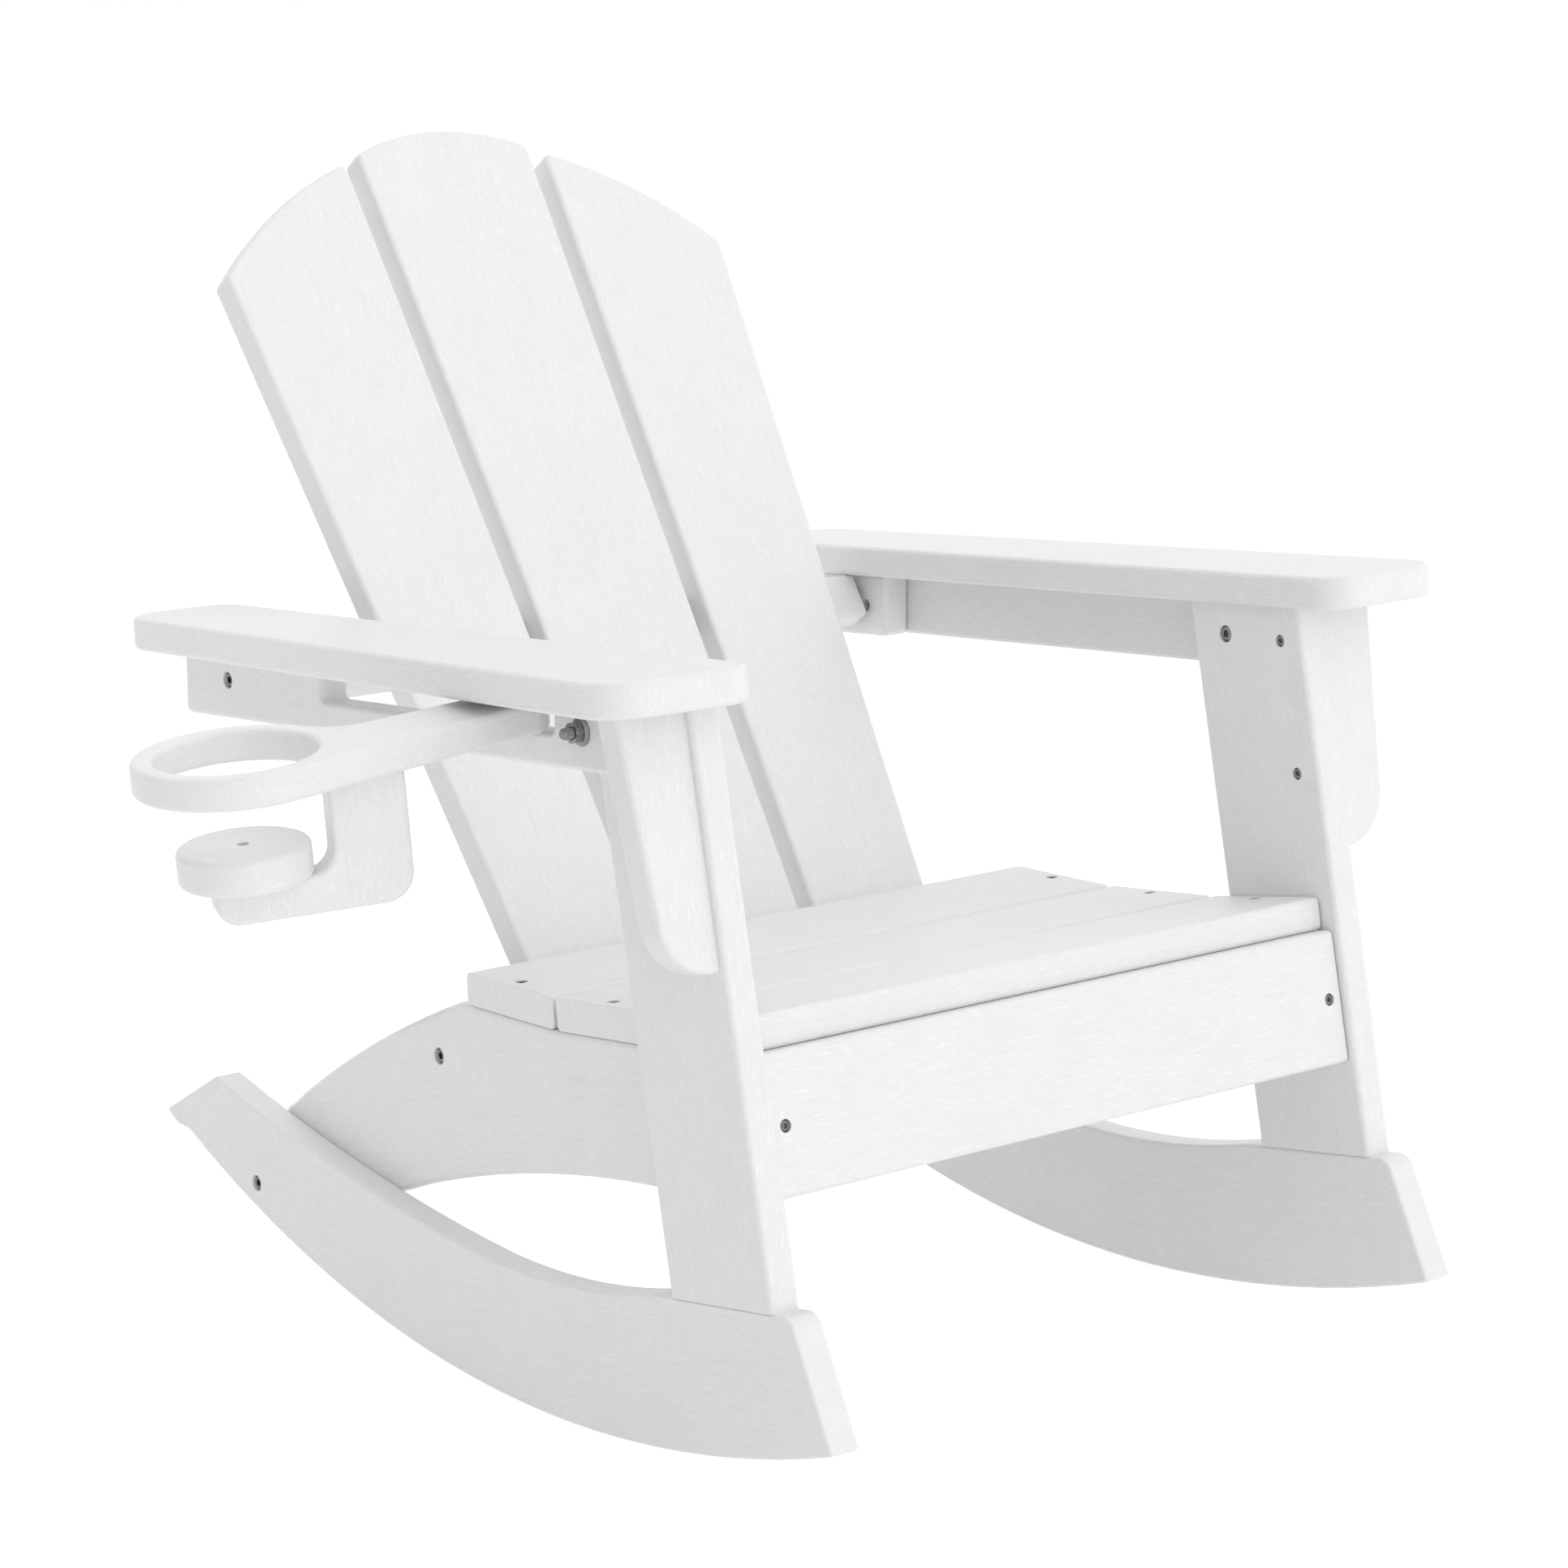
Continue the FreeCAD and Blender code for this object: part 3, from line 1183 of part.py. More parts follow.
# The boards of each side
for word, side in sides:
    mine = by_side[word]
    outer_x = half if side > 0 else -outer
    inner_x = inner if side > 0 else -half
    far_x = outer if side > 0 else -far

    rocker = board("rocker_" + word, "YZ_Plane", rocker_corners, s.board_thickness, rocker_arcs,
                   rocker_radii, edge_radius=s.rocker_round_over)
    put(rocker, outer_x, 0.0, 0.0)
    bored("rocker_" + word, rocker, [mine["rocker_bolt"]] + mine["leg_dowels"])

    # its foot on the rocker and its top under the arm are crisp
    leg = board("front_leg_" + word, "YZ_Plane", leg_corners, s.board_thickness, crisp=(0, 2))
    put(leg, outer_x, 0.0, 0.0)
    bored("front_leg_" + word, leg, [mine["leg_bolt"]] + mine["corbel_screws"] + mine["stringer_screws"]
          + mine["leg_dowels"])

    stringer = board("seat_stringer_" + word, "YZ_Plane", stringer_corners, s.board_thickness,
                     stringer_arcs, stringer_radii)
    put(stringer, inner_x, 0.0, 0.0)
    from_above = [one for one in seat_screws if one.line.x.value * side > 0]
    through = [mine["stringer_bolt"], mine["rocker_bolt"], mine["apron_screw"]]
    bored("seat_stringer_" + word, stringer, through + mine["stringer_screws"] + from_above)

    # arm rail, let in from above on the cup holder's side so that the paddle can swing under the arm
    rail_foot_y, rail_foot_z = lean_meets(arm_under(as_size(0.0)) - s.arm_rail_height, fall,
                                          s.corbel_setback + s.board_thickness)
    rail_corners = [
        (rail_foot_y, rail_foot_z),
        (rail_rear, arm_under(rail_rear) - s.arm_rail_height),
        (rail_rear, arm_under(rail_rear)),
    ]
    rail_radii = {1: s.small_corner}
    if side < 0:
        notch_depth = s.paddle_drop + s.paddle_thickness / cosine(s.paddle_slope) + s.notch_bottom_clearance
        rail_corners += [
            (notch_rear, arm_under(notch_rear)),
            (notch_rear, arm_under(notch_rear) - notch_depth),
            (notch_front, arm_under(notch_front) - notch_depth),
            (notch_front, arm_under(notch_front)),
        ]
        rail_radii[4] = s.small_corner
        rail_radii[5] = s.small_corner
    rail_corners.append((rail_front_y, rail_front_z))
    rail = board("arm_rail_" + word, "YZ_Plane", rail_corners, s.board_thickness, None, rail_radii)
    put(rail, far_x, 0.0, 0.0)
    bored("arm_rail_" + word, rail, [mine["leg_bolt"], mine["rear_bolt"], mine["block_screw"]]
          + mine["arm_screws"])

    block_corners = [
        (block_front, arm_under(block_front) - s.arm_rail_height),
        (rail_rear, arm_under(rail_rear) - s.arm_rail_height),
        (rail_rear, arm_under(rail_rear)),
        (block_front, arm_under(block_front)),
    ]
    block = board("arm_block_" + word, "YZ_Plane", block_corners, s.board_thickness, None,
                  {0: s.small_corner, 1: s.small_corner})
    put(block, outer_x, 0.0, 0.0)
    bored("arm_block_" + word, block, [mine["rear_bolt"], mine["block_screw"], mine["brace_pin"]])

    # arm, drawn in its own falling plane
    arm_rear = (brace_y + s.arm_tail) / cosine(s.arm_fall)
    arm_nose_in = (leg_top_front[0] - s.arm_nose_inner) / cosine(s.arm_fall)
    arm_nose_out = (leg_top_front[0] - s.arm_nose_outer) / cosine(s.arm_fall)
    arm_corners = [
        ((half - s.arm_front_inner_lap) * side, arm_nose_in),
        ((half + s.arm_front_outer_reach) * side, arm_nose_out),
        ((half + s.arm_rear_outer_reach) * side, arm_rear),
        ((half - s.arm_rear_inner_lap) * side, arm_rear),
    ]
    arm_radii = {0: s.arm_front_inner_corner, 1: s.arm_front_outer_corner, 2: s.arm_rear_outer_corner,
                 3: s.arm_rear_inner_corner}
    arm = board("arm_" + word, "XY_Plane", arm_corners, s.board_thickness, None, arm_radii, reverse=True)
    put(arm, 0.0, 0.0, s.arm_height, (1, 0, 0), -s.arm_fall)
    bored("arm_" + word, arm, mine["arm_screws"] + ([arm_pivot] if side < 0 else []))

# Apron and seat slats
long_edges = {0: s.round_over, 1: s.round_over, 2: s.round_over, 3: s.round_over}
apron_length = s.between_legs - s.apron_end_gap * 2
apron = board("front_apron", "YZ_Plane", apron_corners, apron_length, symmetric=True, radii=long_edges,
              soft=False)
round_edges(apron, "front_apron", "YZ_Plane", [apron_length / 2, -(apron_length / 2)], s.end_round_over)
put(apron, 0.0, 0.0, 0.0)
bored("front_apron", apron, apron_screws)
slat_half = half - s.seat_end_gap
for slat, rear_edge, width, rise, gap in slat_list:
    corners = [(-width, 0.0), (0.0, 0.0), (0.0, s.board_thickness), (-width, s.board_thickness)]
    seat = board("seat_slat_" + slat, "YZ_Plane", corners, slat_half * 2, symmetric=True, radii=long_edges,
                 soft=False)
    round_edges(seat, "seat_slat_" + slat, "YZ_Plane", [slat_half, -slat_half], s.end_round_over)
    put(seat, 0.0, rear_edge[0] - gap * cosine(rise), rear_edge[1] + gap * sine(rise), (1, 0, 0), -rise)
    bored("seat_slat_" + slat, seat, slat_screws[slat])

# Back slats, drawn in the plane of the back
back_tilt = 90.0 - s.back_lean
centre_corners = [
    (-centre_edge(back_foot), back_foot),
    (centre_edge(back_foot), back_foot),
    (centre_edge(s.centre_shoulder), s.centre_shoulder),
    (-centre_edge(s.centre_shoulder), s.centre_shoulder),
]
edge_radii = {0: s.small_corner, 1: s.small_corner, 2: s.small_corner, 3: s.small_corner}
centre_slat = board("back_slat_centre", "XY_Plane", centre_corners, s.board_thickness,
                    {2: (s.centre_crown_radius, True)}, edge_radii, reverse=True)
put(centre_slat, 0.0, back_y, 0.0, (1, 0, 0), back_tilt)
bored("back_slat_centre", centre_slat, back_screws_by["centre"])
for word, side in sides:
    side_corners = [
        (side_inner(back_foot) * side, back_foot),
        (side_outer(back_foot) * side, back_foot),
        (side_outer(s.side_corner_height) * side, s.side_corner_height),
        (side_inner(s.side_shoulder) * side, s.side_shoulder),
    ]
    side_slat = board("back_slat_" + word, "XY_Plane", side_corners, s.board_thickness,
                      {2: (s.side_crown_radius, side > 0)}, edge_radii, reverse=True)
    put(side_slat, 0.0, back_y, 0.0, (1, 0, 0), back_tilt)
    bored("back_slat_" + word, side_slat, back_screws_by[word])

# Braces behind the slats
upper_corners = [
    (upper_foot, -s.board_thickness * 2),
    (upper_top, -s.board_thickness * 2),
    (upper_top, -s.board_thickness),
    (upper_foot, -s.board_thickness),
]
upper = board("back_brace_upper", "YZ_Plane", upper_corners, upper_half * 2, symmetric=True,
              radii=long_edges, soft=False)
round_edges(upper, "back_brace_upper", "YZ_Plane", [upper_half, -upper_half], s.end_round_over)
put(upper, 0.0, back_y, 0.0, (1, 0, 0), back_tilt)
bored("back_brace_upper", upper, back_screws_by["upper"] + brace_pins)
lower_corners = [
    (lower_along - s.lower_brace_width / 2, -s.board_thickness - s.lower_brace_depth),
    (lower_along + s.lower_brace_width / 2, -s.board_thickness - s.lower_brace_depth),
    (lower_along + s.lower_brace_width / 2, -s.board_thickness),
    (lower_along - s.lower_brace_width / 2, -s.board_thickness),
]
lower_half = inner - s.lower_brace_end_gap
lower = board("back_brace_lower", "YZ_Plane", lower_corners, lower_half * 2, symmetric=True,
              radii=long_edges, soft=False)
put(lower, 0.0, back_y, 0.0, (1, 0, 0), back_tilt)
bored("back_brace_lower", lower, back_screws_by["lower"] + stringer_bolts)

group("leg_bolts", leg_bolts)
group("leg_bolt_nuts", leg_nuts)
group("rear_rail_bolts", rear_bolts)
group("stringer_bolts", stringer_bolts)
group("rocker_bolts", rocker_bolts)
group("seat_screws", seat_screws)
group("back_screws", back_screws)
group("apron_screws", apron_screws)
group("corbel_screws", corbel_screws)
group("block_screws", block_screws)
group("arm_screws", arm_screws)
group("stringer_screws", stringer_screws)
group("brace_pins", brace_pins)
group("leg_dowels", leg_dowels)

doc.recompute()
faults = []
for obj in doc.Objects:
    if "Invalid" in obj.State or "Error" in obj.State:
        faults.append(obj.Name + " " + str(obj.State))
for obj in sub_parts:
    if obj.Shape.isNull() or not obj.Shape.isValid() or not obj.Shape.Solids:
        faults.append(obj.Label + " has no sound solid")
if faults:
    raise RuntimeError("; ".join(faults))
os.makedirs("parts", exist_ok=True)
for obj in sub_parts:
    obj.Shape.exportStep("parts/" + obj.Label + ".step")
    print(obj.Label, "solids", len(obj.Shape.Solids), "volume", round(obj.Shape.Volume, 1))
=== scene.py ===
import math

import bmesh
import bpy
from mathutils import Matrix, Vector


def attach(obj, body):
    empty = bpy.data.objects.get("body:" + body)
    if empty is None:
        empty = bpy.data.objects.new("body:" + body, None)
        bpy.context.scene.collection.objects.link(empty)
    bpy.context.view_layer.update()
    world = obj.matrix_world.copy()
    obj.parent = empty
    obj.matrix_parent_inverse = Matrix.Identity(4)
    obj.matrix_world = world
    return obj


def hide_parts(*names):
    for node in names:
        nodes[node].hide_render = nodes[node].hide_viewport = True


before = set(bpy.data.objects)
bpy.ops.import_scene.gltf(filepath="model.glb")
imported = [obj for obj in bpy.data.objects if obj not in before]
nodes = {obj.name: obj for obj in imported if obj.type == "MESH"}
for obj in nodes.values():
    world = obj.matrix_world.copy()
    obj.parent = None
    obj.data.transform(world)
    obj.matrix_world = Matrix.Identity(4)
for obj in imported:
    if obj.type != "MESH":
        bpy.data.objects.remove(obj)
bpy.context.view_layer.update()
print("chair loaded:", len(nodes), "pieces")

# Camera, standing where the photograph was taken from
cameraValues = {
    "place": (-1.3196, -1.8211, 0.8126),
    "turn": (77.17, 0.0, -37.83),  # degrees
    "lens": 97.24,
    "shift": (-0.0008, 0.0048),
}
cameraData = bpy.data.cameras.new("chairCamera")
cameraData.lens = cameraValues["lens"]
cameraData.sensor_width = 36.0
cameraData.shift_x, cameraData.shift_y = cameraValues["shift"]
cameraData.clip_start, cameraData.clip_end = 0.05, 100.0
camera = bpy.data.objects.new("chairCamera", cameraData)
camera.location = cameraValues["place"]
camera.rotation_euler = [math.radians(a) for a in cameraValues["turn"]]
bpy.context.scene.collection.objects.link(camera)
bpy.context.scene.camera = camera
print("camera set")


# Shader helpers
def startMaterial(name):
    material = bpy.data.materials.new(name)
    material.use_nodes = True
    tree = material.node_tree
    tree.nodes.clear()
    output = tree.nodes.new("ShaderNodeOutputMaterial")
    return material, tree, output


def addNode(tree, kind, values=None, **settings):
    node = tree.nodes.new(kind)
    for key, value in settings.items():
        setattr(node, key, value)
    for key, value in (values or {}).items():
        if isinstance(value, bpy.types.NodeSocket):
            tree.links.new(value, node.inputs[key])
        else:
            node.inputs[key].default_value = value
    return node


def addMath(tree, operation, first, second=0.0):
    return addNode(tree, "ShaderNodeMath", {0: first, 1: second}, operation=operation).outputs[0]


def addScale(tree, colour, level):
    return addNode(tree, "ShaderNodeVectorMath", {0: colour, "Scale": level}, operation="SCALE").outputs[0]


def addBump(tree, values, height):
    settings = {"Strength": values["bump"], "Distance": values["bumpDepth"], "Height": height}
    return addNode(tree, "ShaderNodeBump", settings).outputs[0]


def addRange(tree, value, low, high, newLow, newHigh):
    values = {"Value": value, "From Min": low, "From Max": high, "To Min": newLow, "To Max": newHigh}
    return addNode(tree, "ShaderNodeMapRange", values).outputs["Result"]


# White plastic lumber: fine short fibres along each board, with a soft satin skin
lumberValues = {
    "colour": (0.780, 0.782, 0.785),
    "fibre": (0.0070, 0.00068, 0.00068),  # metres, along and across the board
    "fibreShade": 0.105,
    "flecks": (0.50, 0.72),  # how much of the fibre turns to pale flecks
    "streak": (0.060, 0.0016, 0.0016),
    "streaks": (0.42, 0.26),
    "streakShade": 0.036,
    "cloud": 0.028,
    "cloudShade": 0.026,
    "roughness": (0.40, 0.50),
    "specular": 0.5,
    "bump": 0.35,
    "bumpDepth": 0.00018,
    "coat": 0.12,
    "coatRoughness": 0.30,
}


# size is how far a mark reaches along and across the turned direction
def grainNoise(tree, place, turn, size, detail, offset=0.0):
    settings = {"Vector": place, "Rotation": turn, "Scale": size, "Location": (offset,) * 3}
    mapping = addNode(tree, "ShaderNodeMapping", settings, vector_type="TEXTURE")
    settings = {"Vector": mapping.outputs[0], "Scale": 1.0, "Detail": detail, "Roughness": 0.6}
    return addNode(tree, "ShaderNodeTexNoise", settings).outputs["Fac"]


def makeLumber(name, along, values=lumberValues):
    along = Vector(along).normalized()
    turn = Vector((1, 0, 0)).rotation_difference(along).to_euler()
    material, tree, output = startMaterial(name)
    coordinates = addNode(tree, "ShaderNodeTexCoord")
    place = coordinates.outputs["Object"]
    fibre = grainNoise(tree, place, turn, values["fibre"], 3.0)
    streak = grainNoise(tree, place, turn, values["streak"], 2.0, 0.37)
    cloud = grainNoise(tree, place, turn, (values["cloud"],) * 3, 2.0, 0.11)
    # board ends: the saw leaves its marks straight across
    sawn = grainNoise(tree, place, (0.0, math.radians(90), 0.0), values["fibre"], 3.0, 0.53)
    facing = addNode(tree, "ShaderNodeVectorMath", {0: coordinates.outputs["Normal"], 1: along},
                     operation="DOT_PRODUCT").outputs["Value"]
    onEnd = addRange(tree, addMath(tree, "ABSOLUTE", facing), 0.75, 0.95, 0.0, 1.0)
    grain = addNode(tree, "ShaderNodeMix", {"Factor": onEnd, "A": fibre, "B": sawn}).outputs["Result"]
    light = addRange(tree, grain, *values["flecks"], 0.0, 1.0)
    dark = addRange(tree, streak, *values["streaks"], 0.0, 1.0)
    shade = addMath(tree, "MULTIPLY", light, values["fibreShade"])
    shade = addMath(tree, "SUBTRACT", shade, addMath(tree, "MULTIPLY", dark, values["streakShade"]))
    blotch = addMath(tree, "MULTIPLY", addMath(tree, "SUBTRACT", cloud, 0.5), values["cloudShade"] * 2)
    shade = addMath(tree, "ADD", shade, blotch)
    level = addMath(tree, "ADD", shade, 1.0 - values["fibreShade"] * 0.35)  # the mean stays as it is
    shader = addNode(tree, "ShaderNodeBsdfPrincipled", {
        "Base Color": addScale(tree, values["colour"], level),
        "Roughness": addRange(tree, grain, 0.3, 0.7, *values["roughness"]),
        "Normal": addBump(tree, values, grain),
        "Specular IOR Level": values["specular"],
        "Coat Weight": values["coat"],
        "Coat Roughness": values["coatRoughness"],
    })
    tree.links.new(shader.outputs[0], output.inputs[0])
    return material


# Directions of the boards, seen from the side: leaning legs, falling arms, the leaning back
def leaning(degrees):
    return (0.0, math.sin(math.radians(degrees)), math.cos(math.radians(degrees)))


def falling(degrees):
    return (0.0, math.cos(math.radians(degrees)), -math.sin(math.radians(degrees)))


boardDirections = {
    "rockerLumber": ((0.0, 1.0, -0.12), ["rocker_left", "rocker_right"]),
    "legLumber": (leaning(12.63), ["front_leg_left", "front_leg_right", "arm_corbel_left",
                                   "arm_corbel_right"]),
    "stringerLumber": (falling(14.0), ["seat_stringer_left", "seat_stringer_right"]),
    "armLumber": (falling(4.98), ["arm_left", "arm_right", "arm_rail_left", "arm_rail_right",
                                  "arm_block_left", "arm_block_right"]),
    "seatLumber": ((1.0, 0.0, 0.0), ["front_apron", "seat_slat_front", "seat_slat_middle",
                                     "seat_slat_rear", "back_brace_upper", "back_brace_lower"]),
    "backLumber": (leaning(34.23), ["back_slat_centre", "back_slat_left", "back_slat_right"]),
    "cupRingLumber": ((-0.98, 0.18, -0.085), ["cup_ring", "cup_base"]),
    "cupBracketLumber": ((-0.087, 0.0, 0.996), ["cup_bracket"]),
}


def coverNode(name, material):
    slots = nodes[name].data.materials
    slots.clear()
    slots.append(material)


for name, (along, members) in boardDirections.items():
    lumber = makeLumber(name, along)
    for member in members:
        coverNode(member, lumber)
print("lumber on the boards")

# Stainless hardware
steelValues = {
    "colour": (0.30, 0.30, 0.31),
    "roughness": (0.22, 0.42),
    "scratch": (0.0054, 0.0009, 0.0009),
    "scratchTurn": (0.3, 0.2, 0.5),
    "patch": 0.004,
    "bump": 0.25,
    "bumpDepth": 0.00004,
    "grime": 0.35,
}


def makeSteel(name, values=steelValues):
    material, tree, output = startMaterial(name)
    place = addNode(tree, "ShaderNodeTexCoord").outputs["Object"]
    scratch = grainNoise(tree, place, values["scratchTurn"], values["scratch"], 4.0)
    patch = grainNoise(tree, place, (0.0, 0.0, 0.0), (values["patch"],) * 3, 2.0, 0.2)
    level = addRange(tree, patch, 0.35, 0.75, 1.0, 1.0 - values["grime"])
    shader = addNode(tree, "ShaderNodeBsdfPrincipled", {
        "Base Color": addScale(tree, values["colour"], level),
        "Metallic": 1.0,
        "Roughness": addRange(tree, scratch, 0.3, 0.7, *values["roughness"]),
        "Normal": addBump(tree, values, scratch),
    })
    tree.links.new(shader.outputs[0], output.inputs[0])
    return material


steel = makeSteel("stainlessSteel")
plainSteel = ["pivot_spacer", "cup_bracket_pins", "brace_pins", "leg_dowels"]
for name in plainSteel:
    coverNode(name, steel)

# Fasteners, turned ring by ring to the size and place of the solids they dress
fastenerValues = {
    "segments": 36,
    "socket": 0.49,  # share of the head's radius
    "socketDepth": 0.62,  # share of the head's height
    "rim": 1.16,  # flat ring round the socket, share of the socket
    # shares of the head's radius, and of its height below the top
    "dome": ((0.62, 0.03), (0.80, 0.11), (0.92, 0.27), (0.985, 0.47), (1.0, 0.66)),
    "edge": 0.00015,
    "threadPitch": 0.0010,
    "threadHeight": 0.00055,
    "threadSteps": 8,
    "tip": 0.0007,
    "nutBore": 0.0031,
    "nutHexagon": 0.00585,
    "nutFlange": 0.0016,
    "nutChamfer": 0.0005,
    "sharpAngle": 38.0,
}
threadedNodes = ["leg_bolts"]  # the only ends in view
boltNodes = ["pivot_bolt", "leg_bolts", "rear_rail_bolts", "stringer_bolts", "rocker_bolts", "cup_base_screw",
             "seat_screws", "back_screws", "apron_screws", "corbel_screws", "block_screws", "arm_screws",
             "stringer_screws"]


# The points of each separate solid of a node
def looseParts(mesh):
    work = bmesh.new()
    work.from_mesh(mesh)
    bmesh.ops.remove_doubles(work, verts=work.verts, dist=0.000002)
    work.verts.index_update()
    seen = set()
    parts = []
    for first in work.verts:
        if first.index in seen:
            continue
        seen.add(first.index)
        reached = [first]
        part = []
        while reached:
            vert = reached.pop()
            part.append(vert.co.copy())
            for side in vert.link_edges:
                other = side.other_vert(vert)
                if other.index not in seen:
                    seen.add(other.index)
                    reached.append(other)
        parts.append(part)
    work.free()
    return parts


# The line through a turned part, found from its points
def longAxis(points):
    middle = sum(points, Vector()) / len(points)
    axis = Vector((0.6, 0.5, 0.4))
    away = [point - middle for point in points]
    for step in range(60):
        axis = sum((way * way.dot(axis) for way in away), Vector()).normalized()
    return middle, axis


# One part built of rings round its line, and what its solid measures
class Turned:
    def __init__(self, work, points, axis=None):
        self.work = work
        middle, found = longAxis(points)
        self.axis = axis or found
        reach = [(point - middle).dot(self.axis) for point in points]
        wide = max(points, key=lambda point: self.off(point, middle))
        if (wide - middle).dot(self.axis) < (min(reach) + max(reach)) / 2:
            self.axis = -self.axis
            reach = [-value for value in reach]
        # distances run from the wide end down the axis
        low, high = min(reach), max(reach)
        self.start = middle + self.axis * high
        self.length = high - low
        self.points = [((self.start - point).dot(self.axis), self.off(point, self.start))
                       for point in points]
        self.across = self.axis.orthogonal().normalized()
        self.up = self.axis.cross(self.across)

    # how far a point is from the line
    def off(self, point, origin):
        away = point - origin
        return (away - self.axis * away.dot(self.axis)).length

    # a ring of points, round or with flat sides, or as far out as wave says
    def ring(self, depth, radius, sides=0, wave=None):
        count = fastenerValues["segments"]
        ring = []
        for index in range(count):
            angle = 2 * math.pi * index / count
            reach = radius
            if sides:
                part = math.pi / sides
                reach = radius * math.cos(part) / math.cos((angle % (2 * part)) - part)
            if wave:
                reach = wave(angle, depth)
            way = self.across * math.cos(angle) + self.up * math.sin(angle)
            ring.append(self.work.verts.new(self.start - self.axis * depth + way * reach))
        return ring

    def join(self, rings):
        for first, second in zip(rings, rings[1:]):
            for index in range(len(first)):
                after = (index + 1) % len(first)
                self.work.faces.new((first[index], first[after], second[after], second[index]))

    def close(self, ring, depth, ahead):
        tip = self.work.verts.new(self.start - self.axis * depth)
        for index in range(len(ring)):
            pair = (ring[index], ring[(index + 1) % len(ring)])
            self.work.faces.new((tip, *pair) if ahead else (tip, *reversed(pair)))


def buildBolt(part, threaded, values=fastenerValues):
    head = max(radius for depth, radius in part.points)
    height = max(depth for depth, radius in part.points if radius > 0.97 * head)
    shank = max(radius for depth, radius in part.points if depth > part.length - 0.0001)
    socket = head * values["socket"]
    floorDepth = height * values["socketDepth"]
    rings = [part.ring(floorDepth, socket, sides=6), part.ring(values["edge"], socket, sides=6),
             part.ring(0.0, socket * values["rim"])]
    part.close(rings[0], floorDepth + values["edge"], True)
    for reach, drop in values["dome"]:
        if reach > values["socket"] * values["rim"]:
            rings.append(part.ring(height * drop, head * reach))
    rings.append(part.ring(height - values["edge"], head))
    rings.append(part.ring(height, head - values["edge"]))
    rings.append(part.ring(height, shank))
    tipStart = part.length - values["tip"]
    if threaded:
        pitch, deep, steps = values["threadPitch"], values["threadHeight"], values["threadSteps"]

        def thread(angle, depth):
            turn = (depth / pitch + angle / (2 * math.pi)) % 1.0
            return shank - deep * abs(2 * turn - 1)

        first = height + (tipStart - height) * 0.5
        rings.append(part.ring(first, shank))
        for step in range(1, int((tipStart - first) / pitch * steps)):
            rings.append(part.ring(first + step * pitch / steps, shank, wave=thread))
        shank -= deep
    rings.append(part.ring(tipStart, shank))
    rings.append(part.ring(part.length, shank - values["tip"] * 0.6))
    part.join(rings)
    part.close(rings[-1], part.length, False)


def buildNut(part, values=fastenerValues):
    flange = max(radius for depth, radius in part.points)
    bore, hexagon, chamfer = values["nutBore"], values["nutHexagon"], values["nutChamfer"]
    foot, top = values["nutFlange"], part.length
    rings = [part.ring(chamfer, bore), part.ring(0.0, bore + chamfer),
             part.ring(0.0, flange - chamfer * 0.5), part.ring(chamfer * 0.5, flange),
             part.ring(chamfer * 1.4, flange), part.ring(foot, hexagon * 1.04),
             part.ring(foot * 1.15, hexagon, sides=6), part.ring(top - chamfer, hexagon, sides=6),
             part.ring(top, hexagon * 0.86), part.ring(top, bore + chamfer),
             part.ring(top - chamfer, bore)]
    part.join(rings + rings[:1])


def dressNode(name, build, axis=None):
    work = bmesh.new()
    for points in looseParts(nodes[name].data):
        build(Turned(work, points, axis))
    bmesh.ops.recalc_face_normals(work, faces=work.faces)
    for face in work.faces:
        face.smooth = True
    mesh = bpy.data.meshes.new(name + "Turned")
    work.to_mesh(mesh)
    work.free()
    mesh.set_sharp_from_angle(angle=math.radians(fastenerValues["sharpAngle"]))
    mesh.materials.append(steel)
    piece = bpy.data.objects.new(name + "Turned", mesh)
    bpy.context.scene.collection.objects.link(piece)
    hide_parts(name)
    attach(piece, "cup_holder" if name == "cup_base_screw" else "chair")


for name in boltNodes:
    dressNode(name, lambda part: buildBolt(part, name in threadedNodes))
dressNode("leg_bolt_nuts", buildNut, Vector((1.0, 0.0, 0.0)))
print("fasteners turned")

# Floor, and a world that is white behind the chair
stageValues = {
    "floorSize": 14.0,
    "floorGlow": 0.84,  # what the camera sees of the floor
    "floorColour": (0.28, 0.28, 0.28),
    "floorBounce": (0.74, 0.74, 0.74),  # what the chair gets from it
    "floorLight": 0.296,
}
# how bright the studio is towards each side, the chair facing -Y
studioLight = {
    "front": ((0.0, -1.0, 0.0), 1.603),
    "back": ((0.0, 1.0, 0.0), 1.553),
    "right": ((1.0, 0.0, 0.0), 0.988),
    "ceiling": ((0.0, 0.0, 1.0), 1.227),
}


# 1 where the camera looks, straight or in a reflection
def raysSeen(tree):
    rays = addNode(tree, "ShaderNodeLightPath")
    seen = addMath(tree, "MAXIMUM", rays.outputs["Is Camera Ray"], rays.outputs["Is Glossy Ray"])
    return addMath(tree, "MAXIMUM", seen, rays.outputs["Is Transmission Ray"])


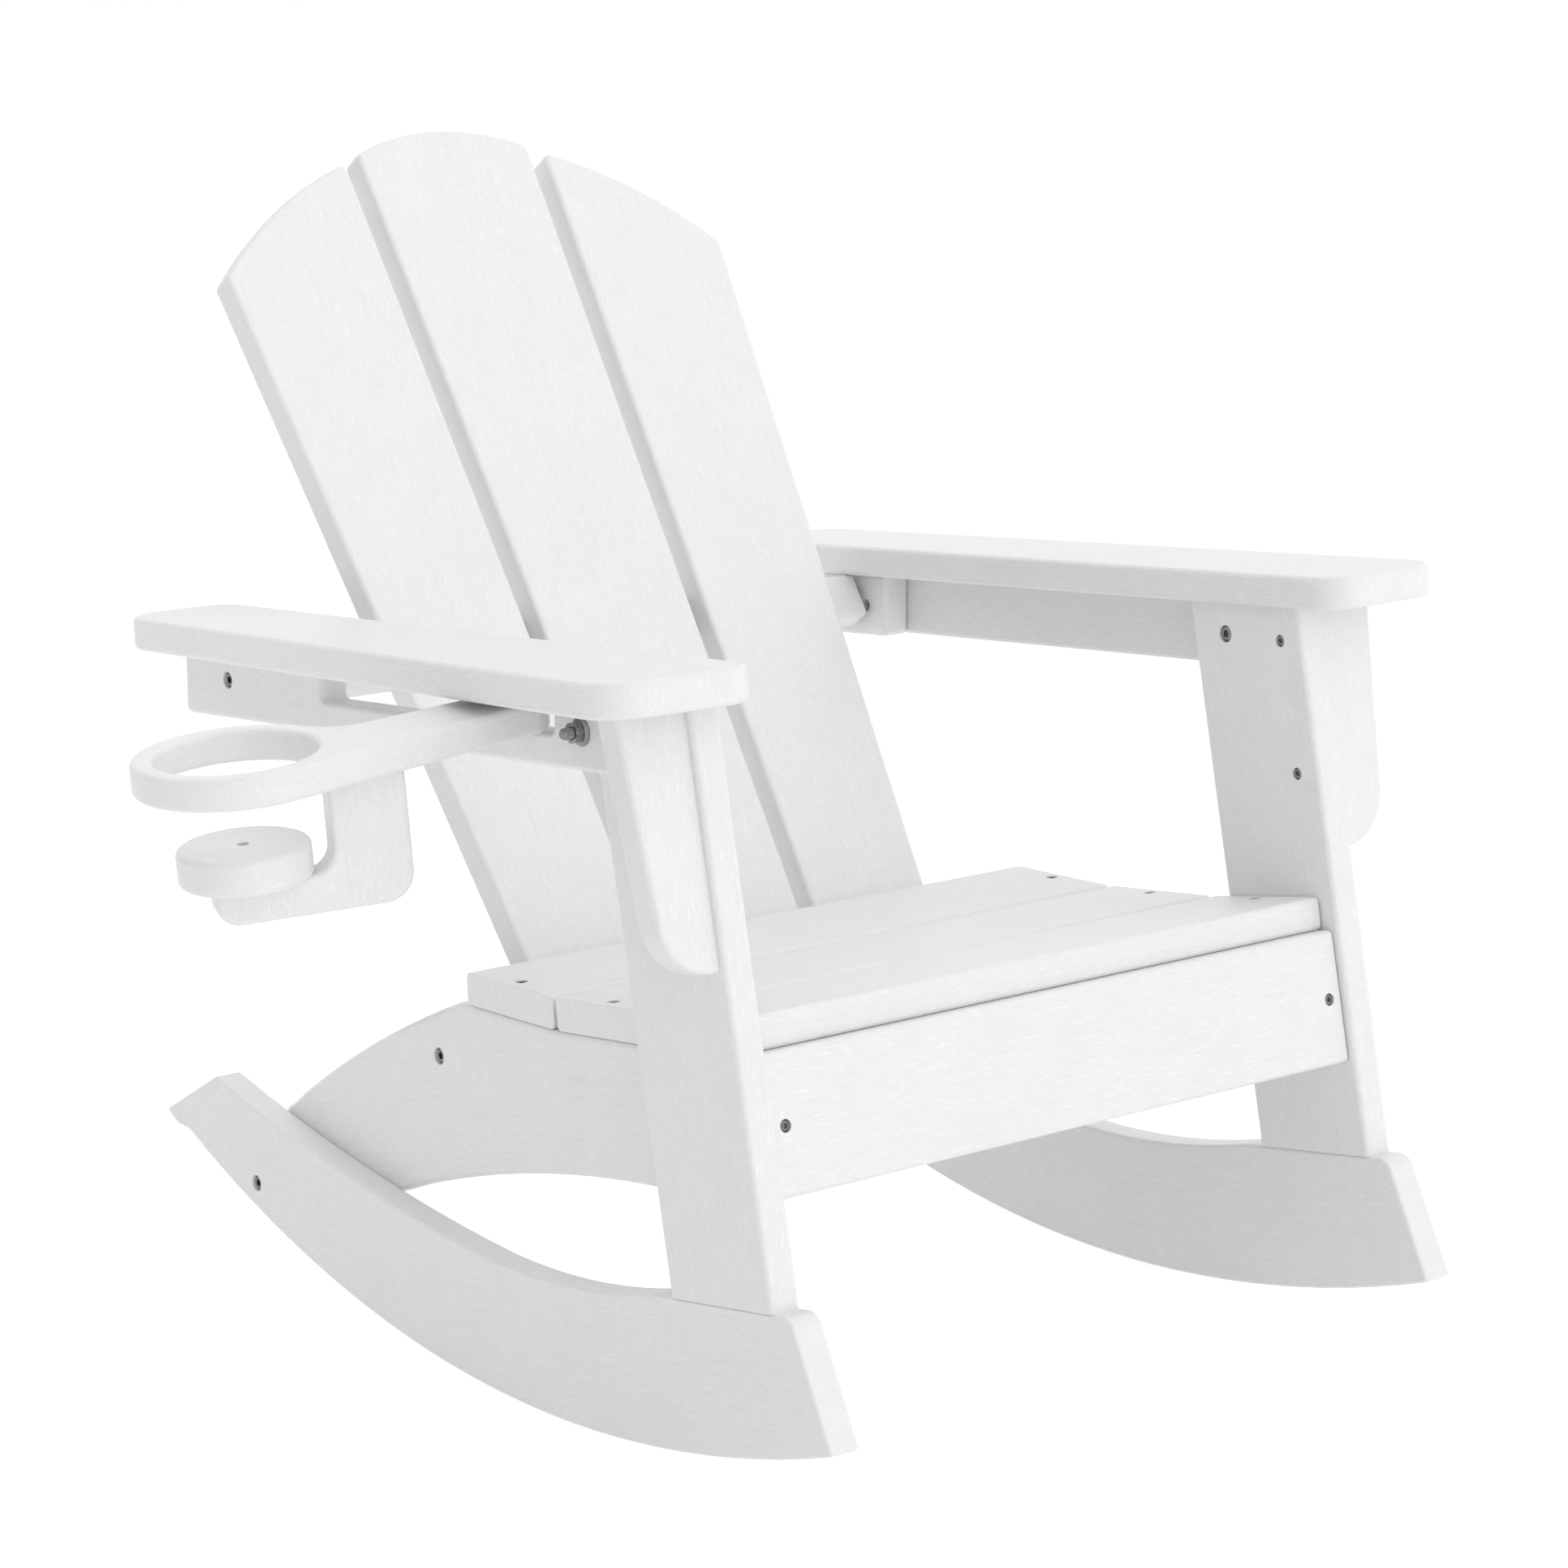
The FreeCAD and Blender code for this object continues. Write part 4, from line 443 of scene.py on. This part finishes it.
floorMesh = bpy.data.meshes.new("studioFloor")
edge = stageValues["floorSize"]
corners = [(-edge, -edge, 0), (edge, -edge, 0), (edge, edge, 0), (-edge, edge, 0)]
floorMesh.from_pydata(corners, [], [(0, 1, 2, 3)])
floor = bpy.data.objects.new("studioFloor", floorMesh)
bpy.context.scene.collection.objects.link(floor)
floorMaterial, tree, output = startMaterial("paleFloor")
seen = raysSeen(tree)
bounce = addNode(tree, "ShaderNodeBsdfDiffuse", {"Color": (*stageValues["floorBounce"], 1.0)})
light = addNode(tree, "ShaderNodeEmission", {"Strength": stageValues["floorLight"]})
plain = addNode(tree, "ShaderNodeAddShader", {0: bounce.outputs[0], 1: light.outputs[0]})
shown = addNode(tree, "ShaderNodeBsdfDiffuse", {"Color": (*stageValues["floorColour"], 1.0)})
glow = addNode(tree, "ShaderNodeEmission", {"Strength": stageValues["floorGlow"]})
bright = addNode(tree, "ShaderNodeAddShader", {0: shown.outputs[0], 1: glow.outputs[0]})
choice = addNode(tree, "ShaderNodeMixShader", {0: seen, 1: plain.outputs[0], 2: bright.outputs[0]})
tree.links.new(choice.outputs[0], output.inputs[0])
floorMesh.materials.append(floorMaterial)

world = bpy.data.worlds.new("studioWorld")
world.use_nodes = True
bpy.context.scene.world = world
tree = world.node_tree
tree.nodes.clear()
output = tree.nodes.new("ShaderNodeOutputWorld")
seen = raysSeen(tree)
way = addNode(tree, "ShaderNodeTexCoord").outputs["Generated"]
strength = seen
unseen = addMath(tree, "SUBTRACT", 1.0, seen)
for side, amount in studioLight.values():
    towards = addNode(tree, "ShaderNodeVectorMath", {0: way, 1: side},
                      operation="DOT_PRODUCT").outputs["Value"]
    lobe = addMath(tree, "POWER", addMath(tree, "MAXIMUM", towards, 0.0), 2.0)
    lobe = addMath(tree, "MULTIPLY", lobe, addMath(tree, "MULTIPLY", unseen, amount))
    strength = addMath(tree, "ADD", strength, lobe)
sky = addNode(tree, "ShaderNodeBackground", {"Color": (1.0, 1.0, 1.0, 1.0), "Strength": strength})
tree.links.new(sky.outputs[0], output.inputs[0])

bpy.context.scene.view_settings.view_transform = "Standard"
print("floor and studio light set")
